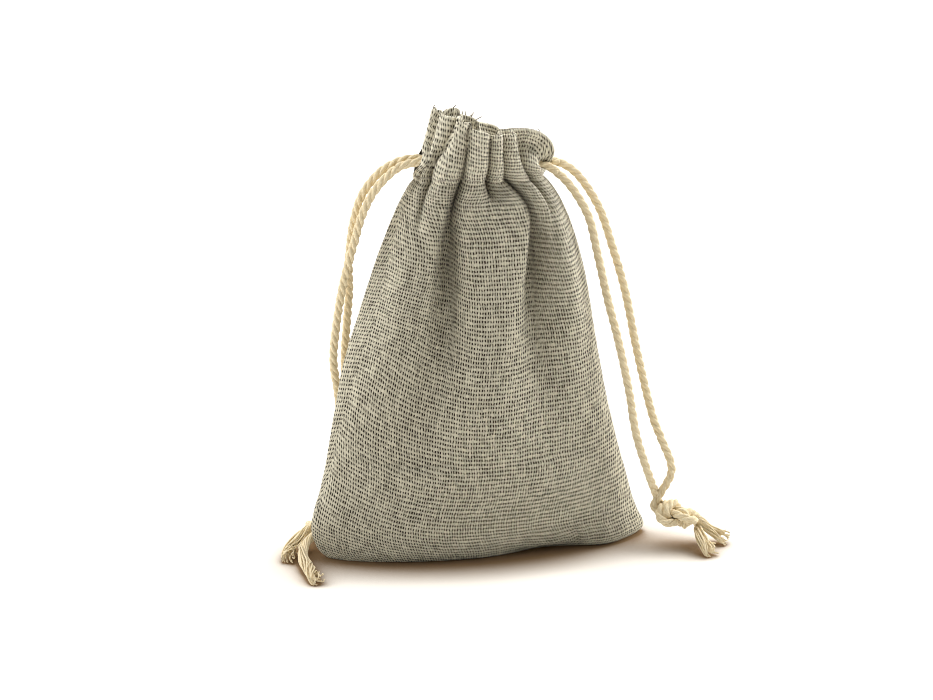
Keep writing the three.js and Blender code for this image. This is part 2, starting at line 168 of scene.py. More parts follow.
def mesh_piece(name, points, faces, corners, material):
    """One object at the origin from points in millimetres, faces and a UV pair for each corner."""
    mesh = bpy.data.meshes.new(name)
    mesh.from_pydata((points * MM).tolist(), [], faces)
    layer = mesh.uv_layers.new(name="cloth")
    layer.data.foreach_set("uv", np.asarray(corners, float).ravel())
    mesh.polygons.foreach_set("use_smooth", np.ones(len(mesh.polygons), bool))
    mesh.materials.append(material)
    mesh.update()
    obj = bpy.data.objects.new(name, mesh)
    scene.collection.objects.link(obj)
    return obj


def tube_piece(name, paths, radii, sides, material):
    """Closed tubes: at each point of each path a ring of the given radius, skinned ring to ring."""
    paths = np.asarray(paths, float)
    count, steps, _ = paths.shape
    radii = np.broadcast_to(radii, (count, steps))
    first, second = cross_directions(paths)
    angle = 2 * np.pi * np.arange(sides) / sides
    spoke = first[:, :, None] * np.cos(angle)[:, None] + second[:, :, None] * np.sin(angle)[:, None]
    points = paths[:, :, None] + radii[:, :, None, None] * spoke
    index = np.arange(count * steps * sides).reshape(count, steps, sides)
    right = np.roll(index, -1, axis=2)
    quads = np.stack([index[:, :-1], right[:, :-1], right[:, 1:], index[:, 1:]], axis=-1)
    caps = np.concatenate([index[:, 0, ::-1], index[:, -1]])
    along = np.stack([lengths_along(path) for path in paths])
    low = np.broadcast_to(along[:, :-1, None], quads.shape[:-1])
    high = np.broadcast_to(along[:, 1:, None], quads.shape[:-1])
    around = np.broadcast_to(np.arange(sides) / sides, quads.shape[:-1])
    over = around + 1 / sides
    corners = np.stack([
        np.stack([around, over, over, around], axis=-1),
        np.stack([low, low, high, high], axis=-1),
    ], axis=-1)
    corners = np.concatenate([corners.reshape(-1, 2), np.zeros((caps.size, 2))])
    faces = quads.reshape(-1, 4).tolist() + caps.tolist()
    return mesh_piece(name, points.reshape(-1, 3), faces, corners, material)


# %% [markdown]
# ## Yarn, weave and twist
# Linen is spun from long uneven fibres: each thread is thick here and thin there, and lighter or
# darker than the next. One node group gives that uneven tone to every yarn on the pouch. A second
# group lays threads over and under each other as a plain weave, from the cloth's own UV map in
# millimetres, so that the weave follows every fold. Image textures would blur close up and can't
# follow a real thread count.

# %% Small helpers for shader nodes


def feed(tree, node, feeds):
    """Feed each named input of a node with a number or with another node's output."""
    for key, value in feeds.items():
        if isinstance(value, bpy.types.NodeSocket):
            tree.links.new(value, node.inputs[key])
        else:
            node.inputs[key].default_value = value


def place(tree, kind, feeds, **options):
    """One node with its options set and its inputs fed."""
    node = tree.nodes.new(kind)
    for name, value in options.items():
        setattr(node, name, value)
    feed(tree, node, feeds)
    return node


def calc(tree, operation, *terms):
    """Output of a Math node that works on up to three numbers or outputs."""
    return place(tree, "ShaderNodeMath", dict(enumerate(terms)), operation=operation).outputs[0]


def new_group(name, inputs, outputs):
    """Empty shader group with float or vector sockets, and its input and output nodes."""
    group = bpy.data.node_groups.new(name, "ShaderNodeTree")
    for label, kind in inputs.items():
        group.interface.new_socket(label, in_out="INPUT", socket_type=kind)
    for label, kind in outputs.items():
        group.interface.new_socket(label, in_out="OUTPUT", socket_type=kind)
    return group, group.nodes.new("NodeGroupInput"), group.nodes.new("NodeGroupOutput")


FLOAT = "NodeSocketFloat"
VECTOR = "NodeSocketVector"

# %% Uneven tone of spun yarn
STREAK_GAIN = (2.2, -0.6)


def yarn_tone_group():
    """Light and dark streaks: noise stretched along the yarn, steepened and held from zero to one."""
    group, given, result = new_group(
        "yarn tone",
        {"Vector": VECTOR, "Across": FLOAT, "Along": FLOAT},
        {"Tone": FLOAT},
    )
    parts = place(group, "ShaderNodeSeparateXYZ", {0: given.outputs["Vector"]})
    across = calc(group, "MULTIPLY", parts.outputs["X"], given.outputs["Across"])
    along = calc(group, "MULTIPLY", parts.outputs["Y"], given.outputs["Along"])
    streak_place = place(group, "ShaderNodeCombineXYZ", {"X": across, "Y": along})
    streak = place(group, "ShaderNodeTexNoise", {
        "Vector": streak_place.outputs[0], "Scale": 1.0, "Detail": 3.0, "Roughness": 0.6,
    })
    tone = calc(group, "MULTIPLY_ADD", streak.outputs["Fac"], *STREAK_GAIN)
    limited = calc(group, "MINIMUM", calc(group, "MAXIMUM", tone, 0.0), 1.0)
    feed(group, result, {"Tone": limited})
    return group


YARN_TONE = yarn_tone_group()
print("group:", YARN_TONE.name, len(YARN_TONE.nodes), "nodes")

# %% One thread of a weave
THREAD_APART = 7.31
THREAD_CHANGE = 0.27
WEFT_START = 51.7
WIDTH_GAIN = (0.7, -0.35)
TONE_GAIN = (2.6, -0.8)
CRIMP = 0.35
BACK_HEIGHT = 0.5
THREAD_LEVEL = 0.6


def thread_profile(group, share, width):
    """Round back of a thread: one at its middle, zero at its edges and beyond."""
    ratio = calc(group, "DIVIDE", calc(group, "MULTIPLY", share, 2.0), width)
    fallen = calc(group, "SUBTRACT", 1.0, calc(group, "MULTIPLY", ratio, ratio))
    return calc(group, "MAXIMUM", fallen, 0.0)


def thread_width(group, number, along, base):
    """Width and tone of one thread, which change from thread to thread and slowly along each."""
    spot = place(group, "ShaderNodeCombineXYZ", {
        "X": calc(group, "MULTIPLY", number, THREAD_APART),
        "Y": calc(group, "MULTIPLY", along, THREAD_CHANGE),
    })
    noise = place(group, "ShaderNodeTexNoise", {"Vector": spot.outputs[0], "Scale": 1.0, "Detail": 2.0})
    swing = calc(group, "MULTIPLY_ADD", noise.outputs["Fac"], *WIDTH_GAIN)
    tone = calc(group, "MULTIPLY_ADD", noise.outputs["Fac"], *TONE_GAIN)
    return calc(group, "ADD", swing, base), tone


def thread_level(group, profile, wave, crimp):
    """Height of a thread: its back and its crimp over and under the others; zero beside it."""
    top = calc(group, "MULTIPLY_ADD", wave, crimp, calc(group, "MULTIPLY", profile, BACK_HEIGHT))
    present = calc(group, "GREATER_THAN", profile, 0.0)
    return calc(group, "MULTIPLY", calc(group, "ADD", top, THREAD_LEVEL), present)


def crossing_wave(group, sign, share):
    """Half a wave over one crossing, up or down by its sign."""
    return calc(group, "MULTIPLY", sign, calc(group, "COSINE", calc(group, "MULTIPLY", share, math.pi)))


# %% Plain weave
WANDER = (0.9, 0.6, 0.0)


def plain_weave_group():
    """Threads across and along take turns on top; the height is that of the upper thread."""
    group, given, result = new_group(
        "plain weave",
        {"Vector": VECTOR, "Threads": VECTOR, "Warp": FLOAT, "Weft": FLOAT},
        {"Height": FLOAT, "Gap": FLOAT, "Tone": FLOAT},
    )
    wander = place(group, "ShaderNodeTexNoise", {
        "Vector": given.outputs["Vector"], "Scale": 0.35, "Detail": 2.0,
    })
    shift = place(group, "ShaderNodeVectorMath", {
        0: wander.outputs["Color"], 1: (0.5, 0.5, 0.5),
    }, operation="SUBTRACT")
    scaled = place(group, "ShaderNodeVectorMath", {
        0: given.outputs["Vector"], 1: given.outputs["Threads"],
    }, operation="MULTIPLY")
    moved = place(group, "ShaderNodeVectorMath", {
        0: shift.outputs[0], 1: WANDER, 2: scaled.outputs[0],
    }, operation="MULTIPLY_ADD")
    parts = place(group, "ShaderNodeSeparateXYZ", {0: moved.outputs[0]})
    across, along = parts.outputs["X"], parts.outputs["Y"]
    column = calc(group, "FLOOR", across)
    row = calc(group, "FLOOR", along)
    side = calc(group, "SUBTRACT", calc(group, "SUBTRACT", across, column), 0.5)
    rise = calc(group, "SUBTRACT", calc(group, "SUBTRACT", along, row), 0.5)
    turn = calc(group, "FLOORED_MODULO", calc(group, "ADD", column, row), 2.0)
    sign = calc(group, "MULTIPLY_ADD", turn, 2.0, -1.0)
    warp_width, warp_tone = thread_width(group, column, along, given.outputs["Warp"])
    weft_number = calc(group, "ADD", row, WEFT_START)
    weft_width, weft_tone = thread_width(group, weft_number, across, given.outputs["Weft"])
    warp = thread_profile(group, side, warp_width)
    weft = thread_profile(group, rise, weft_width)
    warp_level = thread_level(group, warp, crossing_wave(group, sign, rise), CRIMP)
    weft_level = thread_level(group, weft, crossing_wave(group, sign, side), -CRIMP)
    height = calc(group, "MAXIMUM", warp_level, weft_level)
    upper = calc(group, "GREATER_THAN", warp_level, weft_level)
    lower = calc(group, "SUBTRACT", 1.0, upper)
    tone = calc(group, "MULTIPLY_ADD", warp_tone, upper, calc(group, "MULTIPLY", weft_tone, lower))
    # The gap mask marks holes between threads and thread edges that dip; the linen paints shade there.
    solid = place(group, "ShaderNodeMapRange", {
        "Value": height, "From Min": 0.12, "From Max": 0.62,
    }, interpolation_type="SMOOTHSTEP")
    gap = calc(group, "SUBTRACT", 1.0, solid.outputs[0])
    feed(group, result, {"Height": height, "Gap": gap, "Tone": tone})
    return group


PLAIN_WEAVE = plain_weave_group()
print("group:", PLAIN_WEAVE.name, len(PLAIN_WEAVE.nodes), "nodes")

# %% [markdown]
# ## The three finishes
# The linen shows light threads with small gaps between them: the backs of the threads are painted
# light as a painted highlight, and the gaps and the edges of the threads are painted near-black as
# painted shade. The hem at the neck is two layers thick, so its painted gap shade is less dark, and
# its threads are painted paler as painted light from above. The cotton cord is cream with a soft
# sheen, and the sewing thread matches the linen.

# %% What all finishes share
ROUGH_YARN = 0.92
YARN_SPECULAR = 0.2
SHEEN_ROUGHNESS = 0.5


def new_material(name, sheen):
    """Material with a rough Principled shader and some sheen, its node tree, its shader and its UV."""
    material = bpy.data.materials.new(name)
    material.use_nodes = True
    tree = material.node_tree
    shader = tree.nodes["Principled BSDF"]
    feed(tree, shader, {
        "Roughness": ROUGH_YARN, "Specular IOR Level": YARN_SPECULAR,
        "Sheen Weight": sheen, "Sheen Roughness": SHEEN_ROUGHNESS,
    })
    return material, tree, shader, place(tree, "ShaderNodeUVMap", {}, uv_map="cloth").outputs[0]


def yarn_tone(tree, uv, across, along):
    """Tone of spun yarn, with so many streaks to one UV unit across it and along it."""
    feeds = {"Vector": uv, "Across": across, "Along": along}
    return place(tree, "ShaderNodeGroup", feeds, node_tree=YARN_TONE).outputs["Tone"]


def mix_colour(tree, share, low, high):
    """Low colour where the share is zero, high colour where it is one; each a triple or an output."""
    colours = [c if isinstance(c, bpy.types.NodeSocket) else (*c, 1.0) for c in (low, high)]
    feeds = {"Factor": share, 6: colours[0], 7: colours[1]}
    return place(tree, "ShaderNodeMix", feeds, data_type="RGBA").outputs[2]


# %% Linen, cotton and thread
THREADS_PER_MM = (1.36, 0.76, 0.0)
LINEN_SHEEN = 0.1
COTTON_SHEEN = 0.2
SLUB_STREAKS = (1.6, 1.1)
FIBRE_STREAKS = (14.0, 1.5)
SLUB_GAIN = 0.42
STREAK_SHARE = (0.42, -0.14)
# Share of the painted highlight on thread backs in a thread's tone.
PAINTED_CREST_LIGHT = 0.6


def linen(name, dark_thread, light_thread, painted_gap_shade, warp, weft):
    """Woven cloth: thread backs painted light as highlight; painted shade in the gaps and at thread
    edges.
    """
    material, tree, shader, uv = new_material(name, LINEN_SHEEN)
    weave = place(tree, "ShaderNodeGroup", {
        "Vector": uv, "Threads": THREADS_PER_MM, "Warp": warp, "Weft": weft,
    }, node_tree=PLAIN_WEAVE)
    slub = yarn_tone(tree, uv, *SLUB_STREAKS)
    # Painted highlight and shade: the higher a thread stands in the weave, the lighter it is painted, so
    # thread backs are light and their edges dark.
    crest = place(tree, "ShaderNodeMapRange", {
        "Value": weave.outputs["Height"], "From Min": 0.2, "From Max": 1.4,
    })
    streaks = calc(tree, "MULTIPLY_ADD", weave.outputs["Tone"], *STREAK_SHARE)
    uneven = calc(tree, "MULTIPLY_ADD", slub, SLUB_GAIN, streaks)
    tone = calc(tree, "MULTIPLY_ADD", crest.outputs[0], PAINTED_CREST_LIGHT, uneven)
    thread = mix_colour(tree, tone, dark_thread, light_thread)
    bump = place(tree, "ShaderNodeBump", {
        "Height": weave.outputs["Height"], "Strength": 0.6, "Distance": 0.3 * MM,
    })
    # Painted shade: a near-black colour over the gap mask, in the holes and at the dipping thread edges.
    colour = mix_colour(tree, weave.outputs["Gap"], thread, painted_gap_shade)
    feed(tree, shader, {"Base Color": colour, "Normal": bump.outputs[0]})
    return material


def cotton(name, dark_fibre, light_fibre):
    """Spun cotton: fine streaks that lie a little across the ply, as colour and as bump."""
    material, tree, shader, uv = new_material(name, COTTON_SHEEN)
    tone = yarn_tone(tree, uv, *FIBRE_STREAKS)
    bump = place(tree, "ShaderNodeBump", {"Height": tone, "Strength": 0.5, "Distance": 0.15 * MM})
    colour = mix_colour(tree, tone, dark_fibre, light_fibre)
    feed(tree, shader, {"Base Color": colour, "Normal": bump.outputs[0]})
    return material


# The third colour of each linen is the painted shade in its gaps.
LINEN = linen("linen", (0.11, 0.094, 0.060), (0.66, 0.612, 0.470), (0.018, 0.012, 0.007), 0.60, 0.52)
# The hem's threads are painted paler than the linen's, as painted light from above; its gap shade is less
# dark because a second layer lies behind.
PAINTED_LIGHT_HEM = linen("doubled linen painted paler", (0.14, 0.12, 0.078), (0.82, 0.765, 0.60), (0.030, 0.022, 0.013), 0.62, 0.54)
COTTON = cotton("cotton cord", (0.70, 0.54, 0.30), (0.97, 0.87, 0.63))
THREAD = cotton("sewing thread", (0.26, 0.225, 0.17), (0.48, 0.43, 0.34))
print("materials:", [m.name for m in (LINEN, PAINTED_LIGHT_HEM, COTTON, THREAD)])

# %% [markdown]
# ## The knots
# Both ends of a drawstring are tied together in one overhand knot. A knot drawn by eye never looks
# tied, so this one is really tied: two strands start side by side along a wide overhand loop, and
# then each point is pulled towards its neighbours, as a tight cord pulls, while points that come
# closer than one cord thickness are pushed apart. What is left when nothing moves is the knot.

# %% Tie and tighten an overhand knot
CORD_DIAMETER = 2.5
KNOT_POINTS = 96
KNOT_REACH = 18.0
KNOT_HALF = 6.8
TIGHTENING_ROUNDS = 650
EVEN_EVERY = 10
PULL_STEP = 0.2
TOW_STEP = 0.25
PRESSED = 0.92
NEAR_ALONG = 1.6
LOOP_END = 2.05
LOOP_SIZE = (6, 5.5, 1.6)


def open_overhand():
    """Two strands beside each other on a cubic, a quartic and a quintic, wide enough not to touch."""
    t = np.linspace(-LOOP_END, LOOP_END, 400)
    loop = np.stack([t**3 - 3 * t, t**4 - 4 * t**2 + 1.5, t**5 - 10 * t], axis=1) * LOOP_SIZE
    side = unit(np.cross(np.gradient(loop, axis=0), [0.0, 0.0, 1.0]))
    return [loop + offset * CORD_DIAMETER * side for offset in (-0.55, 0.55)]


def no_longer_than(vectors, limit):
    """The same vectors, shortened where they are longer than the limit."""
    size = np.linalg.norm(vectors, axis=-1, keepdims=True)
    return vectors * np.minimum(1.0, limit / np.maximum(size, 1e-9))


def tie_knot():
    """Tow the ends apart, pull points to the mean of their neighbours, push strands apart."""
    strands = np.stack([spread_evenly(line, KNOT_POINTS) for line in open_overhand()])
    side = 0.5 * CORD_DIAMETER
    goal = np.array([[[-KNOT_REACH, 0, k * side], [KNOT_REACH, 0, k * side]] for k in (-1, 1)])
    number = np.tile(np.arange(KNOT_POINTS), 2)
    strand = np.repeat([0, 1], KNOT_POINTS)
    same = strand[:, None] == strand[None, :]
    gap = np.abs(number[:, None] - number[None, :])
    for turn in range(TIGHTENING_ROUNDS):
        strands[:, [0, -1]] += no_longer_than(goal - strands[:, [0, -1]], TOW_STEP)
        pull = strands[:, :-2] + strands[:, 2:] - 2 * strands[:, 1:-1]
        strands[:, 1:-1] += 0.5 * no_longer_than(pull, PULL_STEP)
        spacing = np.mean(np.linalg.norm(np.diff(strands, axis=1), axis=2))
        near = same & (gap * spacing < NEAR_ALONG * CORD_DIAMETER)
        for _ in range(2):
            points = strands.reshape(-1, 3)
            apart = points[:, None] - points[None, :]
            distance = np.linalg.norm(apart, axis=2) + 1e-9
            push = np.where(near, 0.0, np.maximum(0.0, PRESSED * CORD_DIAMETER - distance))
            move = np.sum(apart * (push / distance)[:, :, None], axis=1)
            crowd = np.maximum(np.count_nonzero(push, axis=1), 1)[:, None]
            step = (0.9 * move / crowd).reshape(strands.shape)
            strands[:, 1:-1] += step[:, 1:-1]
        if turn % EVEN_EVERY == EVEN_EVERY - 1:
            strands = np.stack([spread_evenly(line, KNOT_POINTS) for line in strands])
    return strands


knot_strands = tie_knot()
core = knot_strands[np.abs(knot_strands[:, :, 0]) < KNOT_HALF]
knot_strands = knot_strands - (core.min(axis=0) + core.max(axis=0)) / 2
print("tied knot spans", np.round(np.ptp(core, axis=0) + CORD_DIAMETER, 1), "mm")

# %% [markdown]
# ## The drawstrings
# Each drawstring is one long cotton cord of three plies. It starts at its turn by the far slot,
# runs through both tunnels, leaves at its own slot, hangs down and goes through the knot to its
# frayed tail. The route is the one of the CAD model. The whole way is one curve, and it is cut into
# pieces only afterwards, so that the twist runs on without a step.

# %% Chosen points of the cord ends
CLEARANCE = 0.3
STRAND_OFFSET = (CORD_DIAMETER + CLEARANCE) / 2
CORD_HEIGHT = 114.8

DRAWSTRINGS = {
    "left": {
        "sign": -1, "height": CORD_HEIGHT + STRAND_OFFSET,
        "knot_centre": (-42.0, 14.0, 5.4), "knot_direction": (-0.45, -0.82, -0.2), "knot_roll": 0.6,
        "front": {
            "route": [
                (-20.5, -1.4, 115.4), (-23.5, -1.4, 114.2), (-29.4, -0.5, 108.3), (-33.0, 0.5, 101.1),
                (-34.9, 1.8, 93.8), (-36.8, 3.2, 86.3), (-38.3, 5.0, 78.6), (-39.6, 6.5, 69.5),
                (-40.7, 7.6, 57.3), (-39.6, 8.6, 48.5), (-38.6, 10.5, 40.0), (-38.6, 11.6, 28.0),
                (-39.6, 13.0, 19.0),
            ],
            "tail": [(-50.0, 4.5, 3.2), (-52.5, -4.0, 2.4), (-52.2, -13.0, 2.0), (-51.1, -22.0, 1.7)],
        },
        "back": {
            "route": [
                (-20.5, 1.4, 116.2), (-23.5, 1.6, 115.2), (-27.5, 2.0, 112.8), (-32.5, 3.0, 106.3),
                (-35.0, 4.2, 97.6), (-36.0, 6.0, 87.0), (-35.8, 7.5, 77.9), (-36.3, 9.0, 68.6),
                (-36.8, 10.8, 58.0), (-36.4, 13.2, 44.0), (-37.0, 14.8, 28.0), (-38.4, 16.6, 19.0),
            ],
            "tail": [(-50.2, 8.7, 4.8), (-54.6, 3.2, 3.0), (-57.0, -3.5, 1.7)],
        },
    },
    "right": {
        "sign": 1, "height": CORD_HEIGHT - STRAND_OFFSET,
        "knot_centre": (57.6, -14.0, 9.4), "knot_direction": (0.68, -0.2, -0.7), "knot_roll": 0.0,
        "front": {
            "route": [
                (20.0, -1.4, 113.1), (23.1, -1.7, 111.0), (26.5, -2.3, 107.5), (31.5, -4.0, 98.9),
                (34.2, -5.5, 87.4), (37.0, -7.0, 74.3), (39.9, -8.3, 62.6), (43.0, -9.8, 47.7),
                (45.2, -11.0, 34.2), (48.5, -12.0, 23.3),
            ],
            "tail": [(62.8, -20.5, 4.0), (64.3, -26.5, 1.7)],
        },
        "back": {
            "route": [
                (20.5, 1.4, 114.0), (24.0, 1.4, 113.6), (29.0, 1.2, 110.5), (35.6, 0.0, 100.8),
                (39.6, -1.5, 89.1), (43.3, -3.0, 75.9), (46.7, -5.0, 58.2), (51.6, -7.5, 37.2),
                (53.7, -9.0, 31.4), (56.3, -11.0, 22.3),
            ],
            "tail": [(67.0, -14.6, 4.6), (72.5, -17.0, 1.7)],
        },
    },
}
print("the drawstrings leave at", [round(cord["height"], 1) for cord in DRAWSTRINGS.values()], "mm")

# %% Routes of the four cord ends
NECK_HALF_WIDTH = 15.0
NECK_HALF_DEPTH = 3.4
TURN_REACH = 13.2
LENS_POWER = 1.25
SLOT_ANGLE = 0.65
TUNNEL_STATIONS = 8
CORD_STEP = 0.5
UPPER_LENGTH = 36.0


def tunnel_points(side, sign):
    """Half a pointed oval inside the casing, from the turn at the far slot to the cord's own slot."""
    cord = DRAWSTRINGS[side]
    turn = -cord["sign"] * TURN_REACH
    share = np.arange(TUNNEL_STATIONS, -1, -1) / TUNNEL_STATIONS
    theta = SLOT_ANGLE + (np.pi - 2 * SLOT_ANGLE) * share
    x = cord["sign"] * NECK_HALF_WIDTH * np.cos(theta)
    y = sign * NECK_HALF_DEPTH * np.sin(theta) ** LENS_POWER
    z = np.full_like(x, cord["height"])
    start = [[turn, sign * CLEARANCE / 2, cord["height"]], [turn, sign * STRAND_OFFSET, cord["height"]]]
    return np.concatenate([start, np.stack([x, y, z], axis=1)])


def placed_knot(side):
    """The tied knot turned to its direction, rolled about it and moved to its centre."""
    cord = DRAWSTRINGS[side]
    ahead = unit(np.array(cord["knot_direction"]))
    across = unit(np.cross([0.0, 0.0, 1.0], ahead))
    upward = np.cross(ahead, across)
    roll = cord["knot_roll"]
    second = np.cos(roll) * across + np.sin(roll) * upward
    third = np.cos(roll) * upward - np.sin(roll) * across
    turned = knot_strands @ np.stack([ahead, second, third])
    return turned + np.array(cord["knot_centre"])


def inside_knot(line, local):
    """Points of one strand that lie within the knot's half length, from its first to its last."""
    inside = np.flatnonzero(np.abs(local[:, 0]) < KNOT_HALF)
    return line[inside[0]:inside[-1] + 1]


cord_ways = {}
for side, cord in DRAWSTRINGS.items():
    knot = placed_knot(side)
    for place_in_knot, (end, sign) in enumerate((("front", -1), ("back", 1))):
        hidden = tunnel_points(side, sign)
        tied = inside_knot(knot[place_in_knot], knot_strands[place_in_knot])[::3]
        route = np.array(cord[end]["route"])
        tail = np.array(cord[end]["tail"])
        whole = path_through(np.concatenate([hidden, route, tied, tail]), CORD_STEP)
        marks = [route[1], tied[0], tied[-1]]
        leave, enter, emerge = [int(np.argmin(np.linalg.norm(whole - m, axis=1))) for m in marks]
        cuts = leave, leave + round(UPPER_LENGTH / CORD_STEP), enter, emerge
        cord_ways[side, end] = whole, cuts
        print(side, end, "cord end is", round(len(whole) * CORD_STEP), "mm long, cut at", cuts)

# %% [markdown]
# ## Three plies and frayed ends
# A cord could be a plain tube with a bump that looks like twist, but its outline would stay
# smooth. Here each ply is its own tube on a spiral round the middle of the cord. Behind the knot the
# plies come undone, so the tail is a bundle of thin yarns that start inside the cord and spread.

# %% Cord pieces
PLY_RADIUS = 0.66
PLY_ORBIT = 0.60
LAY_LENGTH = 8.2
PLY_SIDES = 10
TAIL_YARNS = 24
YARN_RADIUS = 0.33
YARN_SIDES = 7
YARN_TURN = 2.4
TAIL_START = 0.9
TAIL_OPENING = 1.3
YARN_STRAY = 0.35
YARN_WAVE = 0.1
YARN_STRETCH = (-0.18, 0.06)

rng = np.random.default_rng(12)


def plies_along(path):
    """Three spirals round the path, a third of a turn apart, that turn once in each lay length."""
    first, second = cross_directions(path[None])
    travelled = lengths_along(path)
    phase = -2 * np.pi * (travelled / LAY_LENGTH + np.arange(3)[:, None] / 3)
    ring = first * np.cos(phase)[:, :, None] + second * np.sin(phase)[:, :, None]
    return path + PLY_ORBIT * ring


def frayed_yarns(path):
    """Yarns spread over a disc that opens along the tail, each one wandering by itself."""
    first, second = cross_directions(path[None])
    travelled = lengths_along(path)
    share = travelled / travelled[-1]
    number = np.arange(TAIL_YARNS)[:, None]
    angle = YARN_TURN * number - 2 * np.pi * travelled / LAY_LENGTH * (0.7 - 0.6 * share)
    disc = np.sqrt((number + 0.5) / TAIL_YARNS)
    spread = TAIL_START + TAIL_OPENING * share**1.4
    wander = rng.normal(0, YARN_STRAY, (TAIL_YARNS, 1, 2)) * share[:, None]**2
    wander = wander + rng.normal(0, YARN_WAVE, (TAIL_YARNS, 1, 2)) * np.sin(5 * share)[:, None]
    a = disc * spread * np.cos(angle) + wander[:, :, 0]
    b = disc * spread * np.sin(angle) + wander[:, :, 1]
    stretch = 1 + rng.uniform(*YARN_STRETCH, (TAIL_YARNS, 1))
    middle = between_rows(share * stretch, share, path)
    yarns = middle + a[:, :, None] * first + b[:, :, None] * second
    yarns[:, :, 2] = np.maximum(yarns[:, :, 2], YARN_RADIUS + 0.05)
    return yarns


cord_pieces = {}
for (side, end), (whole, cuts) in cord_ways.items():
    plies = plies_along(whole)
    leave, split, enter, emerge = cuts
    pieces = []
    for name, first, last in (("run", 0, leave), ("upper", leave, split), ("lower", split, enter)):
        part = plies[:, first:last + 1]
        pieces.append(tube_piece(f"{side}_{end}_{name}", part, PLY_RADIUS, PLY_SIDES, COTTON))
    yarns = frayed_yarns(whole[emerge - 2:][::2])
    thin = YARN_RADIUS * np.linspace(1.0, 0.6, yarns.shape[1])
    pieces.append(tube_piece(f"{side}_{end}_tail_yarns", yarns, thin, YARN_SIDES, COTTON))
    cord_pieces[side, end] = pieces

knot_pieces = {}
for side in DRAWSTRINGS:
    tied = []
    for end in ("front", "back"):
        whole, (_, _, enter, emerge) = cord_ways[side, end]
        tied.append(plies_along(whole)[:, enter:emerge + 1])
    shortest = min(part.shape[1] for part in tied)
    even = [np.stack([spread_evenly(ply, shortest) for ply in part]) for part in tied]
    even = np.concatenate(even)
    knot_pieces[side] = tube_piece(f"{side}_tied_knot", even, PLY_RADIUS, PLY_SIDES, COTTON)
print("cord pieces:", 4 * len(cord_pieces) + len(knot_pieces))

# %% [markdown]
# ## The shape of the bag
# Seen from above, every level of the filled bag is a pointed oval: the two panels meet at the side
# seams. Half widths and half depths at a few heights carry that oval from the base to the neck.
# Sculpting could give the same form, but a table of sizes keeps it tied to the model.

# %% Levels of the bag
STITCH_HEIGHT = 110.5
HALF_COLUMNS = 104
COLUMNS = 2 * HALF_COLUMNS
WALL_ROWS = 104
ROW_CROWDING = 1.35
PANEL_WIDTH = 100.0

LEFT_WIDTH_AT = np.array([
    (0, 45.0), (1.5, 46.6), (5.5, 48.7), (10, 49.5), (15, 48.6), (19, 47.2), (28, 44.9), (37, 43.2),
    (46, 41.4), (55, 39.6), (64, 37.0), (72, 34.1), (81, 31.0), (89.5, 28.0), (98, 24.4), (104, 21.7),
    (110.5, 18.4), (115, 16.3), (118, 15.2), (124, 13.4), (130, 11.9),
])
RIGHT_WIDTH_AT = np.array([
    (0, 49.4), (1, 51.0), (2.5, 51.6), (4, 51.1), (6.6, 49.8), (11.5, 48.1), (16.4, 46.7), (26, 43.7),
    (36, 41.0), (45, 38.7), (54.4, 36.7), (63.6, 34.8), (72.8, 33.1), (82, 31.1), (91, 28.6),
    (100, 25.0), (105, 22.6), (110.5, 19.2), (115, 17.4), (121, 15.8), (130, 15.0),
])
DEPTH_AT = np.array([
    (0, 11.6), (2.5, 13.4), (7, 15.2), (20, 17.8), (34, 19.4), (50, 20.0), (66, 19.0), (80, 17.0),
    (92, 14.2), (101, 12.2), (110.5, 10.6), (115, 10.4), (121, 10.6), (129, 10.8),
])


def half_width(z, side):
    """Half width of the bag to its left, or to its right, at each height."""
    table = LEFT_WIDTH_AT if side == "left" else RIGHT_WIDTH_AT
    return smooth_values(z, table[:, 0], table[:, 1])


def half_depth(z):
    """Half depth of the bag at each height."""
    return smooth_values(z, DEPTH_AT[:, 0], DEPTH_AT[:, 1])


wall_heights = STITCH_HEIGHT * np.linspace(0, 1, WALL_ROWS) ** ROW_CROWDING
widest = (half_width(wall_heights, "left") + half_width(wall_heights, "right")).max()
deepest = 2 * half_depth(wall_heights).max()
print("widest", round(float(widest), 1), "mm, deepest", round(float(deepest), 1), "mm")

# %% [markdown]
# ## Where the gathers fall
# The front of the neck shows six valleys. Two of them run on far down the bag, and the others close
# just below the row of stitches. Each valley is a line in height: its place across, its depth and its
# width at a few heights. Low down a valley is a soft notch. At the neck the cloth is packed so tight
# that each pleat is a half round, and a valley is only the crease between two of them.

# %% Valleys of the front and the back
VALLEY_HEIGHTS = np.array([30, 45, 60, 75, 89, 98, 104, 107.5, 110.5, 115, 121.5, 129])

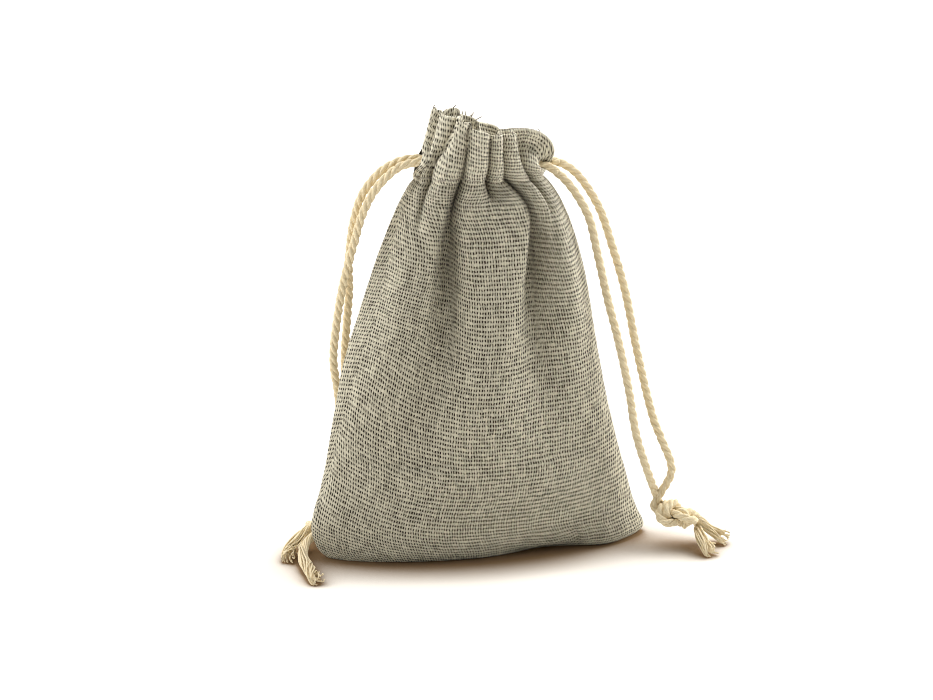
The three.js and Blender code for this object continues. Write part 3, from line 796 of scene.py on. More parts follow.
FRONT_VALLEYS = {
    0.05: [
        (-30, -29, -28, -26, -23.5, -21.5, -19.6, -18.6, -17.6, -15.6, -13.9, -12),
        (0, 0, 0, 0, 0, 0, 0.2, 0.5, 1.2, 2.4, 3.0, 2.8),
        (6, 6, 6, 5, 4, 3, 2, 1.7, 1.4, 1.3, 1.4, 1.4),
    ],
    0.11: [
        (-27, -25, -23, -21, -19.4, -18.2, -17.2, -16.4, -15.6, -14.9, -10.8, -7.6),
        (0, 0, 0, 0.2, 0.8, 1.6, 3.0, 3.8, 4.6, 6.0, 7.2, 6.8),
        (6, 6, 6, 5, 4, 3, 2.5, 2.3, 2.2, 2.2, 2.4, 2.4),
    ],
    0.31: [
        (-11.0, -11.4, -11.9, -12.4, -12.4, -11.2, -9.6, -8.4, -7.0, -5.9, -5.2, -4.9),
        (1.8, 3.4, 5.4, 8.2, 11.4, 11.8, 10.6, 9.4, 8.6, 6.4, 5.8, 4.8),
        (11, 9.5, 7.6, 5.2, 3.0, 2.1, 1.7, 1.7, 2.0, 2.3, 2.3, 2.2),
    ],
    0.52: [
        (3, 3, 3, 3, 2.8, 2.4, 2.0, 1.8, 1.5, 1.9, 2.0, 2.0),
        (0, 0, 0, 0, 0, 0, 0.2, 5.6, 8.4, 6.2, 5.4, 4.4),
        (6, 6, 5, 5, 4, 3, 2.8, 2.6, 2.4, 2.0, 1.9, 1.8),
    ],
    0.68: [
        (20, 18.6, 16.2, 15.7, 16.7, 16.0, 13.6, 11.2, 8.2, 6.4, 5.8, 5.4),
        (1.6, 3.2, 5.2, 7.8, 10.8, 11.2, 9.8, 8.6, 7.8, 6.0, 5.2, 4.2),
        (10, 8.5, 7, 5.0, 2.8, 2.1, 1.8, 1.7, 1.8, 1.8, 1.7, 1.7),
    ],
    0.86: [
        (27, 25, 23, 21, 19.4, 18.2, 17.0, 15.8, 14.4, 12.2, 10.8, 9.8),
        (0, 0, 0, 0.2, 0.8, 1.6, 3.0, 4.2, 5.8, 7.2, 6.6, 5.4),
        (6, 6, 6, 5, 4, 3, 2.6, 2.4, 2.4, 2.4, 2.2, 2.0),
    ],
}
BACK_VALLEYS = {
    0.14: [
        (-26, -25, -23, -20, -18, -16.4, -14.8, -13.8, -12.6, -11.8, -10.6, -9.4),
        (0, 0, 0, 0.2, 0.9, 1.8, 3.0, 3.6, 4.2, 4.2, 4.2, 3.6),
        (6, 6, 6, 5, 4, 3, 2.3, 2.0, 1.8, 1.7, 1.6, 1.5),
    ],
    0.34: [
        (-13, -12.6, -12, -11.4, -10.2, -9.0, -7.6, -6.8, -5.8, -5.2, -4.8, -4.4),
        (0.2, 0.8, 1.8, 3.6, 5.4, 6.0, 6.0, 5.8, 5.4, 4.6, 4.2, 3.4),
        (9, 7.5, 5.6, 3.8, 2.9, 2.4, 2.0, 1.8, 1.7, 1.6, 1.5, 1.5),
    ],
    0.56: [
        (6, 6, 6, 6, 5.6, 4.8, 3.8, 3.2, 2.6, 2.2, 2.0, 1.8),
        (0.1, 0.4, 1.2, 2.6, 4.2, 5.2, 5.6, 5.4, 5.2, 4.4, 4.0, 3.2),
        (9, 7.5, 5.6, 4, 3, 2.5, 2, 1.8, 1.7, 1.6, 1.5, 1.5),
    ],
    0.80: [
        (23, 22.4, 21, 19, 17.4, 15.6, 13.6, 12.4, 11.2, 10, 9, 8.2),
        (0, 0, 0.2, 0.6, 1.8, 3.2, 4.2, 4.4, 4.6, 4.2, 4.0, 3.4),
        (6, 6, 6, 5, 4, 3, 2.2, 1.9, 1.8, 1.7, 1.6, 1.5),
    ],
}
print("valleys:", len(FRONT_VALLEYS), "at the front and", len(BACK_VALLEYS), "at the back")

# %% One panel at one height
LOBE_AT = np.array([
    (35, 0), (60, 1.0), (75, 2.2), (89, 3.0), (98, 2.8), (104, 2.2), (110.5, 1.0), (120, 0),
])
LOBE_PLACE = 0.70
LOBE_RIGHT = 1.5
LOBE_WIDTH = 0.2
FINE = 900
CLOTH_THICKNESS = 0.55
PLAIN_WIDTH = 6.0
FOLLOW_HEIGHTS = (30, 80)
NOTCH_LEAN = 0.35
LEAN_STARTS = (70, 90)
LEAN_ENDS = (98, 108)
PLEAT_HEIGHTS = (93, 104)
NECK_SWELL = 0.9
SWELL_HEIGHTS = (85, 110)
CORD_ROOM_HEIGHTS = (110.8, 112)
LEAST_DEPTH = 0.25
STITCH_GROOVE = 0.7
GROOVE_REACH = 0.9
SHELF_DEPTH = 2.8
SHELF_PLACE = 5.6
SHELF_WIDTH = 4.6
SHELF_HEIGHT = 109.5
SHELF_REACH = 3.4


def bell(value, size, centre, reach):
    """Size times exp of minus the square of the distance from the centre over the reach."""
    return size * np.exp(-((value - centre) / reach) ** 2)


def round_pleats(x, creases, depths, ends):
    """Notch between round pleats: from crease to crease, the depth times one minus a half circle."""
    edges = np.array([ends[0], *creases, ends[1]])
    deep = np.array([0.0, *depths, 0.0])
    place_in = np.clip(np.searchsorted(edges, x) - 1, 0, len(edges) - 2)
    t = np.clip((x - edges[place_in]) / (edges[place_in + 1] - edges[place_in]), 0, 1)
    return (deep[place_in] * (1 - t) + deep[place_in + 1] * t) * (1 - np.sqrt(4 * t * (1 - t)))


def gathered_half(z, valleys, front):
    """One panel at height z: a pointed half oval, notched at each valley and dealt out to columns.

    Low down each notch is depth times exp of minus (distance over width) squared, taken inwards
    square to the oval and at the front steeper on the side away from the middle. At the neck round
    pleats take over, and the cords inside keep room. Two lobes stand out at the sides, and at the
    front the neck is drawn in over a shelf. Between two valleys the cloth is dealt out evenly by
    length.
    """
    height = np.array([z])
    b = half_depth(height)[0]
    ends = -half_width(height, "left")[0], half_width(height, "right")[0]
    angle = np.linspace(np.pi, 0, FINE)
    a = np.where(np.cos(angle) < 0, -ends[0], ends[1])
    x = a * np.cos(angle)
    y = b * np.sin(angle) ** LENS_POWER
    normal = unit(np.stack([np.cos(angle) * b, np.sin(angle) * a], axis=1))
    plain = lengths_along(np.stack([x, y], axis=1))
    follow = smoothstep(z, *FOLLOW_HEIGHTS)
    lean = NOTCH_LEAN * smoothstep(z, *LEAN_STARTS) * (1 - smoothstep(z, *LEAN_ENDS)) if front else 0.0
    share, marks, creases, depths = [0.0], [0], [], []
    notch = np.zeros(FINE)
    for place_across, valley in valleys.items():
        even = np.interp(place_across * plain[-1], plain, x)
        centre, deep, wide = even, 0.0, PLAIN_WIDTH
        if z > VALLEY_HEIGHTS[0]:
            spot, deep, wide = smooth_values(height, VALLEY_HEIGHTS, np.transpose(valley))[0]
            centre = even + (spot - even) * follow
            deep = max(deep, 0.0)
        away = (x - centre) / wide
        steep = lean if place_across < 0.5 else -lean
        away = np.where(away < 0, away / (1 - steep), away / (1 + steep))
        notch += deep * np.exp(-away**2)
        share.append(place_across)
        marks.append(int(np.argmin(np.abs(x - centre))))
        creases.append(centre)
        depths.append(deep)
    pleated = smoothstep(z, *PLEAT_HEIGHTS)
    notch = (1 - pleated) * notch + pleated * round_pleats(x, creases, depths, ends)
    lobe = np.interp(z, LOBE_AT[:, 0], LOBE_AT[:, 1])
    lobe = bell(np.abs(x / a), lobe * np.where(x > 0, LOBE_RIGHT, 1.0), LOBE_PLACE, LOBE_WIDTH)
    swell = NECK_SWELL * smoothstep(z, *SWELL_HEIGHTS) + lobe
    swell = swell - bell(z, STITCH_GROOVE, STITCH_HEIGHT, GROOVE_REACH)
    if front:
        drawn_in = bell(z, SHELF_DEPTH, SHELF_HEIGHT, SHELF_REACH)
        swell = swell - bell(x, drawn_in, SHELF_PLACE, SHELF_WIDTH)
    points = np.stack([x, y], axis=1) + normal * (swell - notch)[:, None]
    inside = np.sqrt(np.maximum(1 - (x / (TURN_REACH + CORD_DIAMETER)) ** 2, 0))
    kept_free = NECK_HALF_DEPTH + CORD_DIAMETER / 2 + CLOTH_THICKNESS
    room = smoothstep(z, *CORD_ROOM_HEIGHTS) * kept_free * inside
    points[:, 1] = np.maximum(points[:, 1], np.maximum(LEAST_DEPTH * y, np.minimum(room, y)))
    points[[0, -1], 1] = 0.0
    travelled = lengths_along(points)
    knots = np.append(travelled[marks], travelled[-1])
    dealt = np.interp(travelled, knots, np.append(share, 1.0))
    columns = np.linspace(0, 1, HALF_COLUMNS + 1)
    plan = between_rows(columns, dealt, points)
    return plan * [1.0, -1.0] if front else plan


# %% Rings of the whole wall
SEAM_TURN = 2.6
SEAM_TURN_STARTS = (8, 30)
SEAM_TURN_ENDS = (95, STITCH_HEIGHT - 2)
TUCK = (0.34, 19, 12)
TUCK_BULGE = (0.3, 39, 8)
TUCK_TOP = 14


def gathered_ring(z):
    """Both panels at one height as a closed ring of columns, turned so that the left seam faces more
    to the front and the right seam more to the back; near the base the right half is tucked under.
    """
    front = gathered_half(z, FRONT_VALLEYS, True)
    back = gathered_half(z, BACK_VALLEYS, False)[::-1]
    plan = np.concatenate([front[:-1], back])
    turn = SEAM_TURN * smoothstep(z, *SEAM_TURN_STARTS) * (1 - smoothstep(z, *SEAM_TURN_ENDS))
    at = (np.arange(COLUMNS) + turn) % COLUMNS
    plan = between_rows(at, np.arange(COLUMNS + 1), plan)
    tuck = bell(plan[:, 0], *TUCK) - bell(plan[:, 0], *TUCK_BULGE)
    tuck = tuck * (1 - smoothstep(z, 0, TUCK_TOP))
    plan[:, 1] *= np.where(plan[:, 1] < 0, 1 - tuck, 1.0)
    return np.column_stack([plan, np.full(COLUMNS, z)])


wall = np.stack([gathered_ring(z) for z in wall_heights])
girth = np.linalg.norm(np.roll(wall[-1], -1, axis=0) - wall[-1], axis=1).sum()
print("wall grid:", wall.shape, "neck girth", round(float(girth), 1), "mm")

# %% [markdown]
# ## Letting the cloth settle
# A formula gives the folds their places, but real cloth also buckles softly where there is more of
# it than the form needs. Blender's cloth solver could do that, but a small solver of our own on the
# same grid keeps the columns as the threads of the cloth: each spring between neighbours is put back
# to its rest length again and again, and points inside the filling are pushed out. The base, the
# side seams and the row of stitches stay where they are.

# %% Settle the wall
SETTLE_ROUNDS = 120
EASING = 0.6
UNEVENNESS = 0.15
LINKS = (((0, 1), 0.45), ((1, 0), 0.45), ((1, 1), 0.12), ((1, -1), 0.12), ((0, 3), 0.10), ((4, 0), 0.10))
HELD_LOW_ROWS = 6
HELD_TOP_ROWS = 2
SPARE_AT = np.array([
    (0, 0.0), (20, 0.004), (45, 0.016), (65, 0.03), (85, 0.045), (98, 0.03), (110.5, 0.0),
])
FILL_SHARE = np.array([
    (0, 0.9), (6, 0.95), (20, 0.965), (60, 0.95), (80, 0.85), (95, 0.65), (110.5, 0.4),
])
FILL_DEPTH = np.array([
    (0, 9), (6, 13.4), (20, 16.4), (40, 16.2), (60, 13), (80, 5.5), (95, 3), (110.5, 2),
])


def springs(points, shift_row, shift_column):
    """Vectors from each point to its neighbour some rows and columns further, round the ring."""
    ahead = np.roll(points, -shift_column, axis=1)
    rows = len(points) - shift_row
    return ahead[shift_row:] - points[:rows]


def settle(points, rounds):
    """Put springs back to rest length, each end taking half, and push points out of the filling."""
    z = points[:, 0, 2]
    spare = 1 + np.interp(z, SPARE_AT[:, 0], SPARE_AT[:, 1])[:, None]
    soft = rng.normal(0, UNEVENNESS, points.shape[:2])
    links = []
    for shift, firm in LINKS:
        rest = np.linalg.norm(springs(points, *shift), axis=2)
        rest = rest * (spare[:len(rest)] if shift[1] else 1.0)
        links.append((shift, firm, rest))
    held = np.zeros(points.shape[:2], bool)
    held[:HELD_LOW_ROWS] = True
    held[-HELD_TOP_ROWS:] = True
    held[:, [0, HALF_COLUMNS]] = True
    free = (~held)[:, :, None]
    full = np.interp(z, FILL_SHARE[:, 0], FILL_SHARE[:, 1])
    fill_left = (full * half_width(z, "left"))[:, None]
    fill_right = (full * half_width(z, "right"))[:, None]
    fill_b = np.interp(z, FILL_DEPTH[:, 0], FILL_DEPTH[:, 1])[:, None]
    now = points.copy()
    now[:, :, 1] += soft * free[:, :, 0]
    for _ in range(rounds):
        move = np.zeros_like(now)
        for (down, across), firm, rest in links:
            gap = springs(now, down, across)
            size = np.linalg.norm(gap, axis=2) + 1e-9
            half = (0.5 * firm * (size - rest) / size)[:, :, None] * gap
            move[:len(half)] += half
            move[down:] -= np.roll(half, across, axis=1)
        now += EASING * move * free
        fill_a = np.where(now[:, :, 0] < 0, fill_left, fill_right)
        inside = np.sqrt((now[:, :, 0] / fill_a) ** 2 + (now[:, :, 1] / fill_b) ** 2)
        grow = np.maximum(1.0, 1 / np.maximum(inside, 0.2))
        now[:, :, :2] *= np.where(free, grow[:, :, None], 1.0)
    return now


settled = settle(wall, SETTLE_ROUNDS)
print("cloth moved by up to", round(float(np.linalg.norm(settled - wall, axis=2).max()), 2), "mm")

# %% [markdown]
# ## Panels of the bag
# The settled wall is continued under the base to the fold in the middle, and then parted at the side
# seams into the front and the back panel. The seams are drawn in a little, as sewing does. Solidify
# gives the cloth its thickness and one level of subdivision rounds the folds.

# %% Sheets of cloth
BASE_ROWS = 5
SEAM_GROOVE = 0.55
GROOVE_COLUMNS = 1.7
GROOVE_STARTS = (4, 20)


def sheet_piece(name, points, uv, material, thickness, rim=False):
    """Open sheet: one quad between each four neighbouring points of the grid."""
    rows, columns, _ = points.shape
    index = np.arange(rows * columns).reshape(rows, columns)
    quads = np.stack([index[:-1, :-1], index[:-1, 1:], index[1:, 1:], index[1:, :-1]], axis=-1)
    quads = quads.reshape(-1, 4)
    corners = uv.reshape(-1, 2)[quads.ravel()]
    obj = mesh_piece(name, points.reshape(-1, 3), quads.tolist(), corners, material)
    rounding = obj.modifiers.new("rounding", "SUBSURF")
    rounding.levels = 1
    rounding.render_levels = 1
    rounding.uv_smooth = "NONE"
    layer = obj.modifiers.new("thickness", "SOLIDIFY")
    layer.thickness = thickness * MM
    layer.offset = -1
    layer.use_even_offset = False
    layer.use_rim = rim
    return obj


def with_base(grid):
    """Rows under the base that run from the fold at y = 0 out to the first row of the wall."""
    share = np.linspace(0, 1, BASE_ROWS, endpoint=False)[:, None, None]
    under = np.repeat(grid[:1], BASE_ROWS, axis=0)
    under[:, :, 1:2] *= share
    return np.concatenate([under, grid])


def drawn_seams(grid):
    """Pull the cloth inwards along the two seams, by a bell that is about three millimetres wide."""
    column = np.arange(COLUMNS)
    away = np.abs((column + HALF_COLUMNS / 2) % HALF_COLUMNS - HALF_COLUMNS / 2)
    pull = bell(away, SEAM_GROOVE, 0, GROOVE_COLUMNS) * smoothstep(grid[:, :, 2], *GROOVE_STARTS)
    along = np.roll(grid, -2, axis=1) - np.roll(grid, 2, axis=1)
    inward = unit(np.stack([-along[:, :, 1], along[:, :, 0], np.zeros(along.shape[:2])], axis=-1))
    return grid + pull[:, :, None] * inward


# %% Threads of the cloth
VALLEY_STRIP = 0.012
CROSSWAYS = np.array([0.974, -0.225])
DEPTH_COUNTS = 0.4
TAKEN_START = 45
TAKEN_LEFT = 0.10
TAKEN_RIGHT = 0.12
THREAD_REACH = 7.0
HANG_START = 5
HANG_BEND = 25
HANG_FADES = (60, 95)
MIDDLE_SHARES = (0.35, 0.65)


def width_of_cloth(grid, troughs):
    """Place across the cloth in millimetres from its middle: the way along each row, counted fully
    crosswise and partly in depth. Towards the neck the two deep folds, at the given shares of the
    width, take in more and more of the cloth.
    """
    share = np.linspace(0, 1, grid.shape[1])
    gap = np.diff(grid[:, :, :2], axis=1)
    step = np.hypot(gap @ CROSSWAYS, DEPTH_COUNTS * gap[:, :, 1])
    across = np.concatenate([np.zeros((len(grid), 1)), np.cumsum(step, axis=1)], axis=1)
    across = across - across[:, [grid.shape[1] // 2]]
    z = grid[:, :, 2].mean(axis=1)[:, None]
    taken = np.maximum(z - TAKEN_START, 0)
    left = 0.5 - 0.5 * np.tanh((share - troughs[0]) / VALLEY_STRIP)
    right = 0.5 + 0.5 * np.tanh((share - troughs[1]) / VALLEY_STRIP)
    return across + taken * (TAKEN_RIGHT * right - TAKEN_LEFT * left)


def cloth_coordinates(grid, troughs, hang_start, hang_end):
    """UV in millimetres: across the cloth, and along it from the fold under the base.

    Threads stay nearly straight past a sudden fold, so the place across is a mean over the rows
    near by. Towards the side seams the rows hang back, so that they meet the leaning seams squarely.
    """
    columns = grid.shape[1]
    first, last = (round(share * columns) for share in MIDDLE_SHARES)
    middle = grid[:, first:last]
    climb = np.linalg.norm(np.diff(middle, axis=0), axis=2).mean(axis=1)
    v = np.concatenate([[0.0], np.cumsum(climb)])
    place_across = np.linspace(-0.5, 0.5, columns)
    aside = PANEL_WIDTH * np.abs(place_across)
    ramp = np.clip(aside - HANG_START, 0, HANG_BEND)
    drop = ramp**2 / (2 * HANG_BEND) + np.maximum(aside - HANG_START - HANG_BEND, 0)
    hang = np.where(place_across < 0, hang_start, hang_end) * drop
    fading = 1 - 0.5 * smoothstep(grid[:, :, 2], *HANG_FADES)
    z = grid[:, :, 2].mean(axis=1)
    near = np.exp(-((z[:, None] - z) / THREAD_REACH) ** 2)
    u = near @ width_of_cloth(grid, troughs) / near.sum(axis=1, keepdims=True)
    return np.stack([u, v[:, None] - hang * fading], axis=-1)


# %% Front and back panel
HANG_LEFT = 0.40
HANG_RIGHT = 0.08
FRONT_TROUGHS = (0.31, 0.68)
BACK_TROUGHS = (0.44, 0.66)

body = with_base(drawn_seams(settled))
front_grid = body[:, :HALF_COLUMNS + 1]
back_grid = np.concatenate([body[:, HALF_COLUMNS:], body[:, :1]], axis=1)
front_uv = cloth_coordinates(front_grid, FRONT_TROUGHS, HANG_LEFT, HANG_RIGHT)
back_uv = cloth_coordinates(back_grid, BACK_TROUGHS, HANG_RIGHT, HANG_LEFT)
front_panel = sheet_piece("front_cloth", front_grid, front_uv, LINEN, CLOTH_THICKNESS)
back_panel = sheet_piece("back_cloth", back_grid, back_uv, LINEN, CLOTH_THICKNESS)
print("front panel is", round(float(front_uv[-1, HALF_COLUMNS // 2, 1]), 1), "mm long in the middle")

# %% [markdown]
# ## The gathered hem
# Above the stitches the cloth is doubled: it goes up to the frill, folds over to the inside and comes
# down again behind the cords. Its outer layer carries the same valleys on up. The end at the right
# side flops outwards over the cords, which a bend about the cord line gives.

# %% Ends of a hem
FLOP_ANGLE = math.radians(84)
FLOP_CENTRE = np.array([14.6, 0.0, 115.0])
FLOP_SHARES = (0.84, 0.98)
FLOP_HEIGHTS = (112, 119)
SLOTS = ((114.2, 117.8), (112.0, 115.6))
SLOT_GAPE = 2.8
END_SHARE = 0.12
LEFT_END_BACK = 1.2
LIP = (2.6, 114.8, 1.7)
HOLLOW = (2.8, 119.2, 2.4)
LIP_STARTS = (0.84, 0.92)
LIP_ENDS = (0.97, 1.0)
BACKWARDS = np.array([0.0, 1.0, 0.0])


def gaping(points, share, sign):
    """Part the ends of a hem from the other hem round the slots, where the cords come out.

    Above the left slot both ends are pushed to the back, so that a narrow strip faces left.
    """
    end = 1 - smoothstep(np.minimum(share, 1 - share), 0.0, END_SHARE)
    z = points[:, :, 2]
    low = np.where(share < 0.5, SLOTS[0][0], SLOTS[1][0])
    high = np.where(share < 0.5, SLOTS[0][1], SLOTS[1][1])
    near = smoothstep(z, low - 0.8, low + 0.4) * (1 - smoothstep(z, high - 0.6, high + 1.0))
    back = LEFT_END_BACK * (share < 0.5) * smoothstep(z, SLOTS[0][1] - 0.5, SLOTS[0][1] + 2.0)
    return points + (end * (sign * SLOT_GAPE * near + back))[:, :, None] * BACKWARDS


def lipped(points, share, sign):
    """Round the right end of a hem forwards low down, as a lip over the cords, and hollow it above."""
    z = points[:, :, 2]
    lip = bell(z, *LIP) - bell(z, *HOLLOW)
    near = smoothstep(share, *LIP_STARTS) * (1 - smoothstep(share, *LIP_ENDS))
    return points + (sign * lip * near)[:, :, None] * BACKWARDS


def flopped(points, share):
    """Turn the right end of a hem outwards about the cord line, more and more towards its end."""
    turn = FLOP_ANGLE * smoothstep(share, *FLOP_SHARES)
    turn = turn * smoothstep(points[:, :, 2], *FLOP_HEIGHTS)
    offset = points - FLOP_CENTRE
    x = offset[:, :, 0] * np.cos(turn) + offset[:, :, 2] * np.sin(turn)
    z = offset[:, :, 2] * np.cos(turn) - offset[:, :, 0] * np.sin(turn)
    return np.stack([x, offset[:, :, 1], z], axis=-1) + FLOP_CENTRE


# %% Layers of a hem
HEM_ROWS = 15
INNER_ROWS = 9
FOLD_RADIUS = 0.7
FOLD_ROWS = 4
HEM_TOP = 130
HEM_LEVELS = 28
INNER_HALF_WIDTH = 13.0
INNER_DEPTH = 4.2
INNER_RIPPLES = 6
RIPPLE_DEPTH = 0.5
INNER_SHARE = 0.6
INNER_SETTLES = 0.6
UPWARDS = np.array([0.0, 0.0, 1.0])


def hem_grid(bottom, valleys, front, tops):
    """Outer layer up to its own top line, a half-round fold, and an inner layer back down."""
    columns = np.linspace(0, 1, HALF_COLUMNS + 1)
    top = smooth_values(columns, tops[:, 0], tops[:, 1])
    level = np.linspace(0, 1, HEM_ROWS)
    heights = np.linspace(STITCH_HEIGHT, HEM_TOP, HEM_LEVELS)
    stack = np.stack([gathered_half(z, valleys, front) for z in heights])
    z = STITCH_HEIGHT + level[:, None] * (top - STITCH_HEIGHT)
    spot = (z - heights[0]) / (heights[1] - heights[0])
    low = np.clip(np.floor(spot).astype(int), 0, len(heights) - 2)
    part = (spot - low)[:, :, None]
    pick = np.arange(HALF_COLUMNS + 1)
    plan = stack[low, pick] * (1 - part) + stack[low + 1, pick] * part
    outer = np.concatenate([plan, z[:, :, None]], axis=2)
    outer[0] = bottom
    crest = outer[-1]
    to_middle = crest * [-0.3, -1.0, 0.0] - np.sign(crest) * [0.0, 4.0, 0.0]
    bend = np.linspace(0, np.pi, FOLD_ROWS + 1)[1:, None, None]
    fold = crest + FOLD_RADIUS * ((1 - np.cos(bend)) * unit(to_middle) + np.sin(bend) * UPWARDS)
    down = np.linspace(0, 1, INNER_ROWS + 1)[1:, None]
    sign = -1.0 if front else 1.0
    ripple = RIPPLE_DEPTH * np.sin(2 * np.pi * INNER_RIPPLES * columns)
    settle_in = smoothstep(down, 0, INNER_SETTLES)
    edge_x, edge_y, edge_z = fold[-1].T
    inner_x = edge_x * (1 - settle_in) - settle_in * INNER_HALF_WIDTH * np.cos(np.pi * columns)
    room = INNER_SHARE * np.abs(outer[:, :, 1]).min(axis=0)
    deep = sign * np.minimum((INNER_DEPTH + ripple) * np.sin(np.pi * columns) ** 0.7, room)
    inner_y = edge_y * (1 - settle_in) + settle_in * deep
    inner_z = edge_z + down * (STITCH_HEIGHT + 0.5 - edge_z)
    inner = np.stack([inner_x, inner_y, inner_z], axis=-1)
    grid = gaping(np.concatenate([outer, fold, inner]), columns, sign)
    if front:
        grid = lipped(grid, columns, sign)
    return flopped(grid, columns)


def hem_coordinates(grid, start, troughs):
    """UV in millimetres that carries on from the top row of the panel below."""
    climb = np.linalg.norm(np.diff(grid, axis=0), axis=2).mean(axis=1)
    v = np.concatenate([[0.0], np.cumsum(climb)])
    return np.stack([width_of_cloth(grid, troughs), start[None, :, 1] + v[:, None]], axis=-1)


# %% Front and back hem
FRONT_TOP = np.array([
    (0.0, 129.8), (0.05, 129.2), (0.11, 128.2), (0.20, 127.8), (0.29, 126.7), (0.34, 126.1),
    (0.42, 124.8), (0.50, 123.4), (0.60, 123.4), (0.70, 123.3), (0.80, 123.2), (0.9, 122.8), (1.0, 120.5),
])
BACK_TOP = np.array([
    (0.0, 129.8), (0.06, 127.6), (0.14, 126.6), (0.24, 127.8), (0.31, 128.4), (0.42, 126.4),
    (0.56, 124.6), (0.75, 122.6), (1.0, 121.5),
])

front_hem_grid = hem_grid(front_grid[-1], FRONT_VALLEYS, True, FRONT_TOP)
back_hem_grid = hem_grid(back_grid[-1][::-1], BACK_VALLEYS, False, BACK_TOP)[:, ::-1]
front_hem_uv = hem_coordinates(front_hem_grid, front_uv[-1], FRONT_TROUGHS)
back_hem_uv = hem_coordinates(back_hem_grid, back_uv[-1], BACK_TROUGHS)
front_hem = sheet_piece("front_hem", front_hem_grid, front_hem_uv, PAINTED_LIGHT_HEM, CLOTH_THICKNESS)
back_hem = sheet_piece("back_hem", back_hem_grid, back_hem_uv, PAINTED_LIGHT_HEM, CLOTH_THICKNESS)
print("hem grid:", front_hem_grid.shape)

# %% [markdown]
# ## Stitches and seam allowances
# One row of straight stitches closes each tunnel, and the side seams are sewn inside, with their
# edges turned in as a fin. Stitches are short tubes that dip into the cloth at both ends, so that
# they catch the light like thread. A painted dash would vanish from the side.

# %% Rows of stitches
STITCH_LENGTH = 2.3
STITCH_PITCH = 3.0
STITCH_RADIUS = 0.2
STITCH_BOW = 0.22
STITCH_SINK = 0.16
THREAD_SIDES = 6
LOOSE_RADIUS = 0.14
LOOSE_LEAN = np.array([0.5, 0.0, 0.6])
FRONT_FRAYED = (-12.5, -6.5, 17.5)
BACK_FRAYED = (-4.8, -3.6, -2.0, -0.8, 0.4, 0.8, 1.6)


def stitch_row(line, outward):
    """Short arcs along a line: each one is highest in its middle and sinks at its two ends."""
    travelled = lengths_along(line)
    starts = np.arange(1.0, travelled[-1] - STITCH_PITCH, STITCH_PITCH)
    bow = np.linspace(0, 1, 7)
    at = starts[:, None] + STITCH_LENGTH * bow
    lift = STITCH_BOW * np.sin(np.pi * bow) - STITCH_SINK
    normal = between_rows(at, travelled, outward)
    return between_rows(at, travelled, line) + lift[:, None] * unit(normal)


def loose_ends(grid, places):
    """Frayed ends that stand up from the fold of a hem at the given places across, each one bent."""
    fold = grid[HEM_ROWS + 1]
    root = fold[np.argmin(np.abs(fold[:, 0] - np.array(places)[:, None]), axis=1)]
    rise = np.linspace(-0.2, 1, 7)[:, None]
    lean = rng.normal(0, 0.45, (len(root), 1, 3)) + LOOSE_LEAN
    curl = rng.normal(0, 0.6, (len(root), 1, 3))
    return root[:, None] + rise * lean + rise**2 * curl


def hem_stitches(name, grid, frayed):
    """Stitches just above the lowest row of a hem, lifted square to its surface, and its loose ends."""
    line = grid[1]
    along = np.gradient(line, axis=0)
    up = grid[2] - grid[0]
    outward = unit(np.cross(along, up))
    sewn = stitch_row(line, outward)
    loose = loose_ends(grid, frayed)
    radii = np.repeat([STITCH_RADIUS, LOOSE_RADIUS], [len(sewn), len(loose)])[:, None]
    return tube_piece(name, np.concatenate([sewn, loose]), radii, THREAD_SIDES, THREAD)


front_stitches = hem_stitches("front_stitches", front_hem_grid, FRONT_FRAYED)
back_stitches = hem_stitches("back_stitches", back_hem_grid, BACK_FRAYED)
print("corners of the front stitches:", len(front_stitches.data.vertices))

# %% Seam allowances inside the bag
FIN_START = 0.9
FIN_WIDTH = 6.5
FIN_LOW = 14.0
FIN_HIGH = 104.0
FIN_WAVE = 0.25
FIN_BACK = 0.6

fins, fin_stitches = {}, {}
for side, column, sign in (("left", 0, -1), ("right", HALF_COLUMNS, 1)):
    seam = settled[:, column]
    seam = seam[(seam[:, 2] > FIN_LOW) & (seam[:, 2] < FIN_HIGH)]
    depth = np.linspace(FIN_START, FIN_WIDTH, 6)[None, :, None]
    grid = seam[:, None] - sign * depth * np.array([1.0, 0.0, 0.0])
    if sign > 0:
        grid = grid[:, ::-1]
    grid[:, :, 1] += FIN_WAVE * np.sin(grid[:, :, 2] / 6.0) + FIN_BACK
    uv = np.stack(np.broadcast_arrays(depth[:, :, 0], seam[:, None, 2]), axis=-1)
    fins[side] = sheet_piece(f"{side}_seam_allowance", grid, uv, LINEN, 2 * CLOTH_THICKNESS, rim=True)
    line = grid[:, 3]
    sewn = stitch_row(line, np.broadcast_to(-BACKWARDS, line.shape))
    fin_stitches[side] = tube_piece(f"{side}_seam_stitches", sewn, STITCH_RADIUS, THREAD_SIDES, THREAD)
print("seam allowances:", list(fins))

# %% [markdown]
# ## Floor and light
# The pouch stands on a pale floor under three wide suns: one from above and behind, and one low at
# each side, so that the folds shade themselves. No lamp shines from the front, because that would
# flatten the cloth. The camera sees the floor a little paler than the pouch does, so that it stays
# white and still takes the shadow. Close to the cloth a dark brown contact shadow is painted into
# the floor's colour, where an ambient occlusion node finds the cloth near.

# %% Stage and lights
WORLD_LEVEL = 0.12
FLOOR_BOUNCE = (0.82, 0.80, 0.77)
FLOOR_SEEN = (0.94, 0.885, 0.815)
# Colour of the painted contact shadow on the floor near the cloth.
PAINTED_CONTACT_SHADOW = (0.24, 0.155, 0.085)
CONTACT_REACH = 20.0
FLOOR_HALF = 3.0
SUNS = {
    "top light": (20, 90, 2.1, 60),
    "left light": (55, 168, 2.25, 56),
    "right light": (58, 12, 3.5, 56),
}

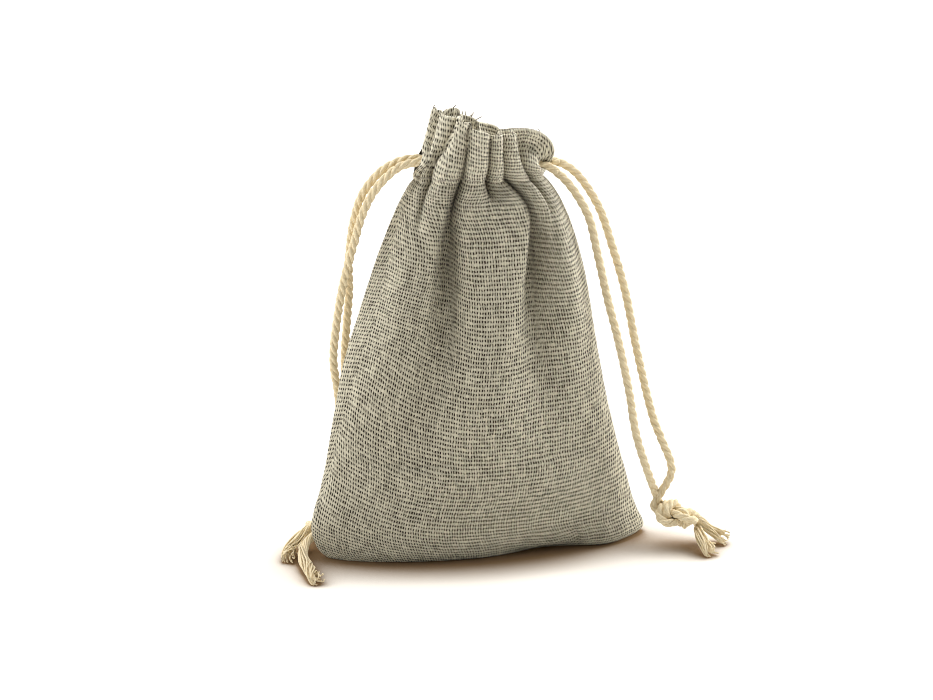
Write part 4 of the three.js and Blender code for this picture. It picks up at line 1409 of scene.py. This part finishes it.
floor_mesh = bpy.data.meshes.new("floor")
floor_corners = [(x * FLOOR_HALF, y * FLOOR_HALF, 0) for x, y in ((-1, -1), (1, -1), (1, 1), (-1, 1))]
floor_mesh.from_pydata(floor_corners, [], [(0, 1, 2, 3)])
floor = bpy.data.objects.new("floor", floor_mesh)
scene.collection.objects.link(floor)
floor_material = bpy.data.materials.new("white floor")
floor_material.use_nodes = True
floor_tree = floor_material.node_tree
floor_tree.nodes.clear()
floor_path = floor_tree.nodes.new("ShaderNodeLightPath")
# Painted shadow: where an ambient occlusion node finds the cloth near, the floor the camera sees is
# painted dark brown.
near = place(floor_tree, "ShaderNodeAmbientOcclusion", {"Distance": CONTACT_REACH * MM})
clear = place(floor_tree, "ShaderNodeMapRange", {
    "Value": near.outputs["AO"], "From Min": 0.5, "From Max": 0.92,
})
seen = mix_colour(floor_tree, clear.outputs[0], PAINTED_CONTACT_SHADOW, FLOOR_SEEN)
both = mix_colour(floor_tree, floor_path.outputs["Is Camera Ray"], FLOOR_BOUNCE, seen)
matt = place(floor_tree, "ShaderNodeBsdfDiffuse", {"Color": both})
place(floor_tree, "ShaderNodeOutputMaterial", {"Surface": matt.outputs[0]})
floor_mesh.materials.append(floor_material)

world = bpy.data.worlds.new("studio")
world.use_nodes = True
scene.world = world
world_tree = world.node_tree
world_path = world_tree.nodes.new("ShaderNodeLightPath")
seen_directly = 0.0
for ray in ("Is Camera Ray", "Is Glossy Ray", "Is Transmission Ray"):
    seen_directly = calc(world_tree, "MAXIMUM", seen_directly, world_path.outputs[ray])
strength = calc(world_tree, "MULTIPLY_ADD", seen_directly, 1.0 - WORLD_LEVEL, WORLD_LEVEL)
feed(world_tree, world_tree.nodes["Background"], {"Color": (1, 1, 1, 1), "Strength": strength})


def soft_sun(name, tilt, turn, strength, spread):
    """Wide sun that shines from the given tilt from straight up, leaning to the given compass turn."""
    data = bpy.data.lights.new(name, "SUN")
    data.energy = strength
    data.angle = math.radians(spread)
    sun = bpy.data.objects.new(name, data)
    lean = math.radians(tilt)
    compass = math.radians(turn)
    level = math.sin(lean)
    towards = Vector((level * math.cos(compass), level * math.sin(compass), math.cos(lean)))
    sun.rotation_euler = (-towards).to_track_quat("-Z", "Y").to_euler()
    scene.collection.objects.link(sun)


for name, light in SUNS.items():
    soft_sun(name, *light)
print("lamps:", list(SUNS))

# %% [markdown]
# ## What moves with what
# The panels, the hems with their stitches, and the run and the top of each cord stay where they are.
# The seam allowances and their stitches go with the bag, the lower part of each cord goes with its
# pull, and its tail and its knot go with its end. The CAD parts that these pieces stand for are hidden.

for panel, hem, stitches, lip, node, sign in (
    (front_panel, front_hem, front_stitches, "front_lip", "front", -1),
    (back_panel, back_hem, back_stitches, "back_lip", "back", 1),
):
    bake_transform(panel)
    for piece in (hem, stitches):
        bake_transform(piece)
    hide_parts(f"{node}_panel")
    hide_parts(f"{node}_casing")
    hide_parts(f"{node}_casing_stitch")

for side in fins:
    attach(fins[side], "bag")
    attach(fin_stitches[side], "bag")
    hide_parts(f"{side}_side_seam")
    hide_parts(f"{side}_seam_stitch")

for (side, end), (run, upper, lower, tail) in cord_pieces.items():
    whole, (leave, split, enter, _) = cord_ways[side, end]
    sign = -1 if end == "front" else 1
    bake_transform(run)
    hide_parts(f"{side}_cord_{end}_run")
    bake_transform(upper)
    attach(lower, f"{side}_pull")
    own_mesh(lower)
    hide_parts(f"{side}_{end}_strand")
    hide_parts(f"{side}_{end}_strand")
    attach(tail, f"{side}_end")
    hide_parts(f"{side}_{end}_tail")

for side, knot in knot_pieces.items():
    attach(knot, f"{side}_end")
    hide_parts(f"{side}_knot")
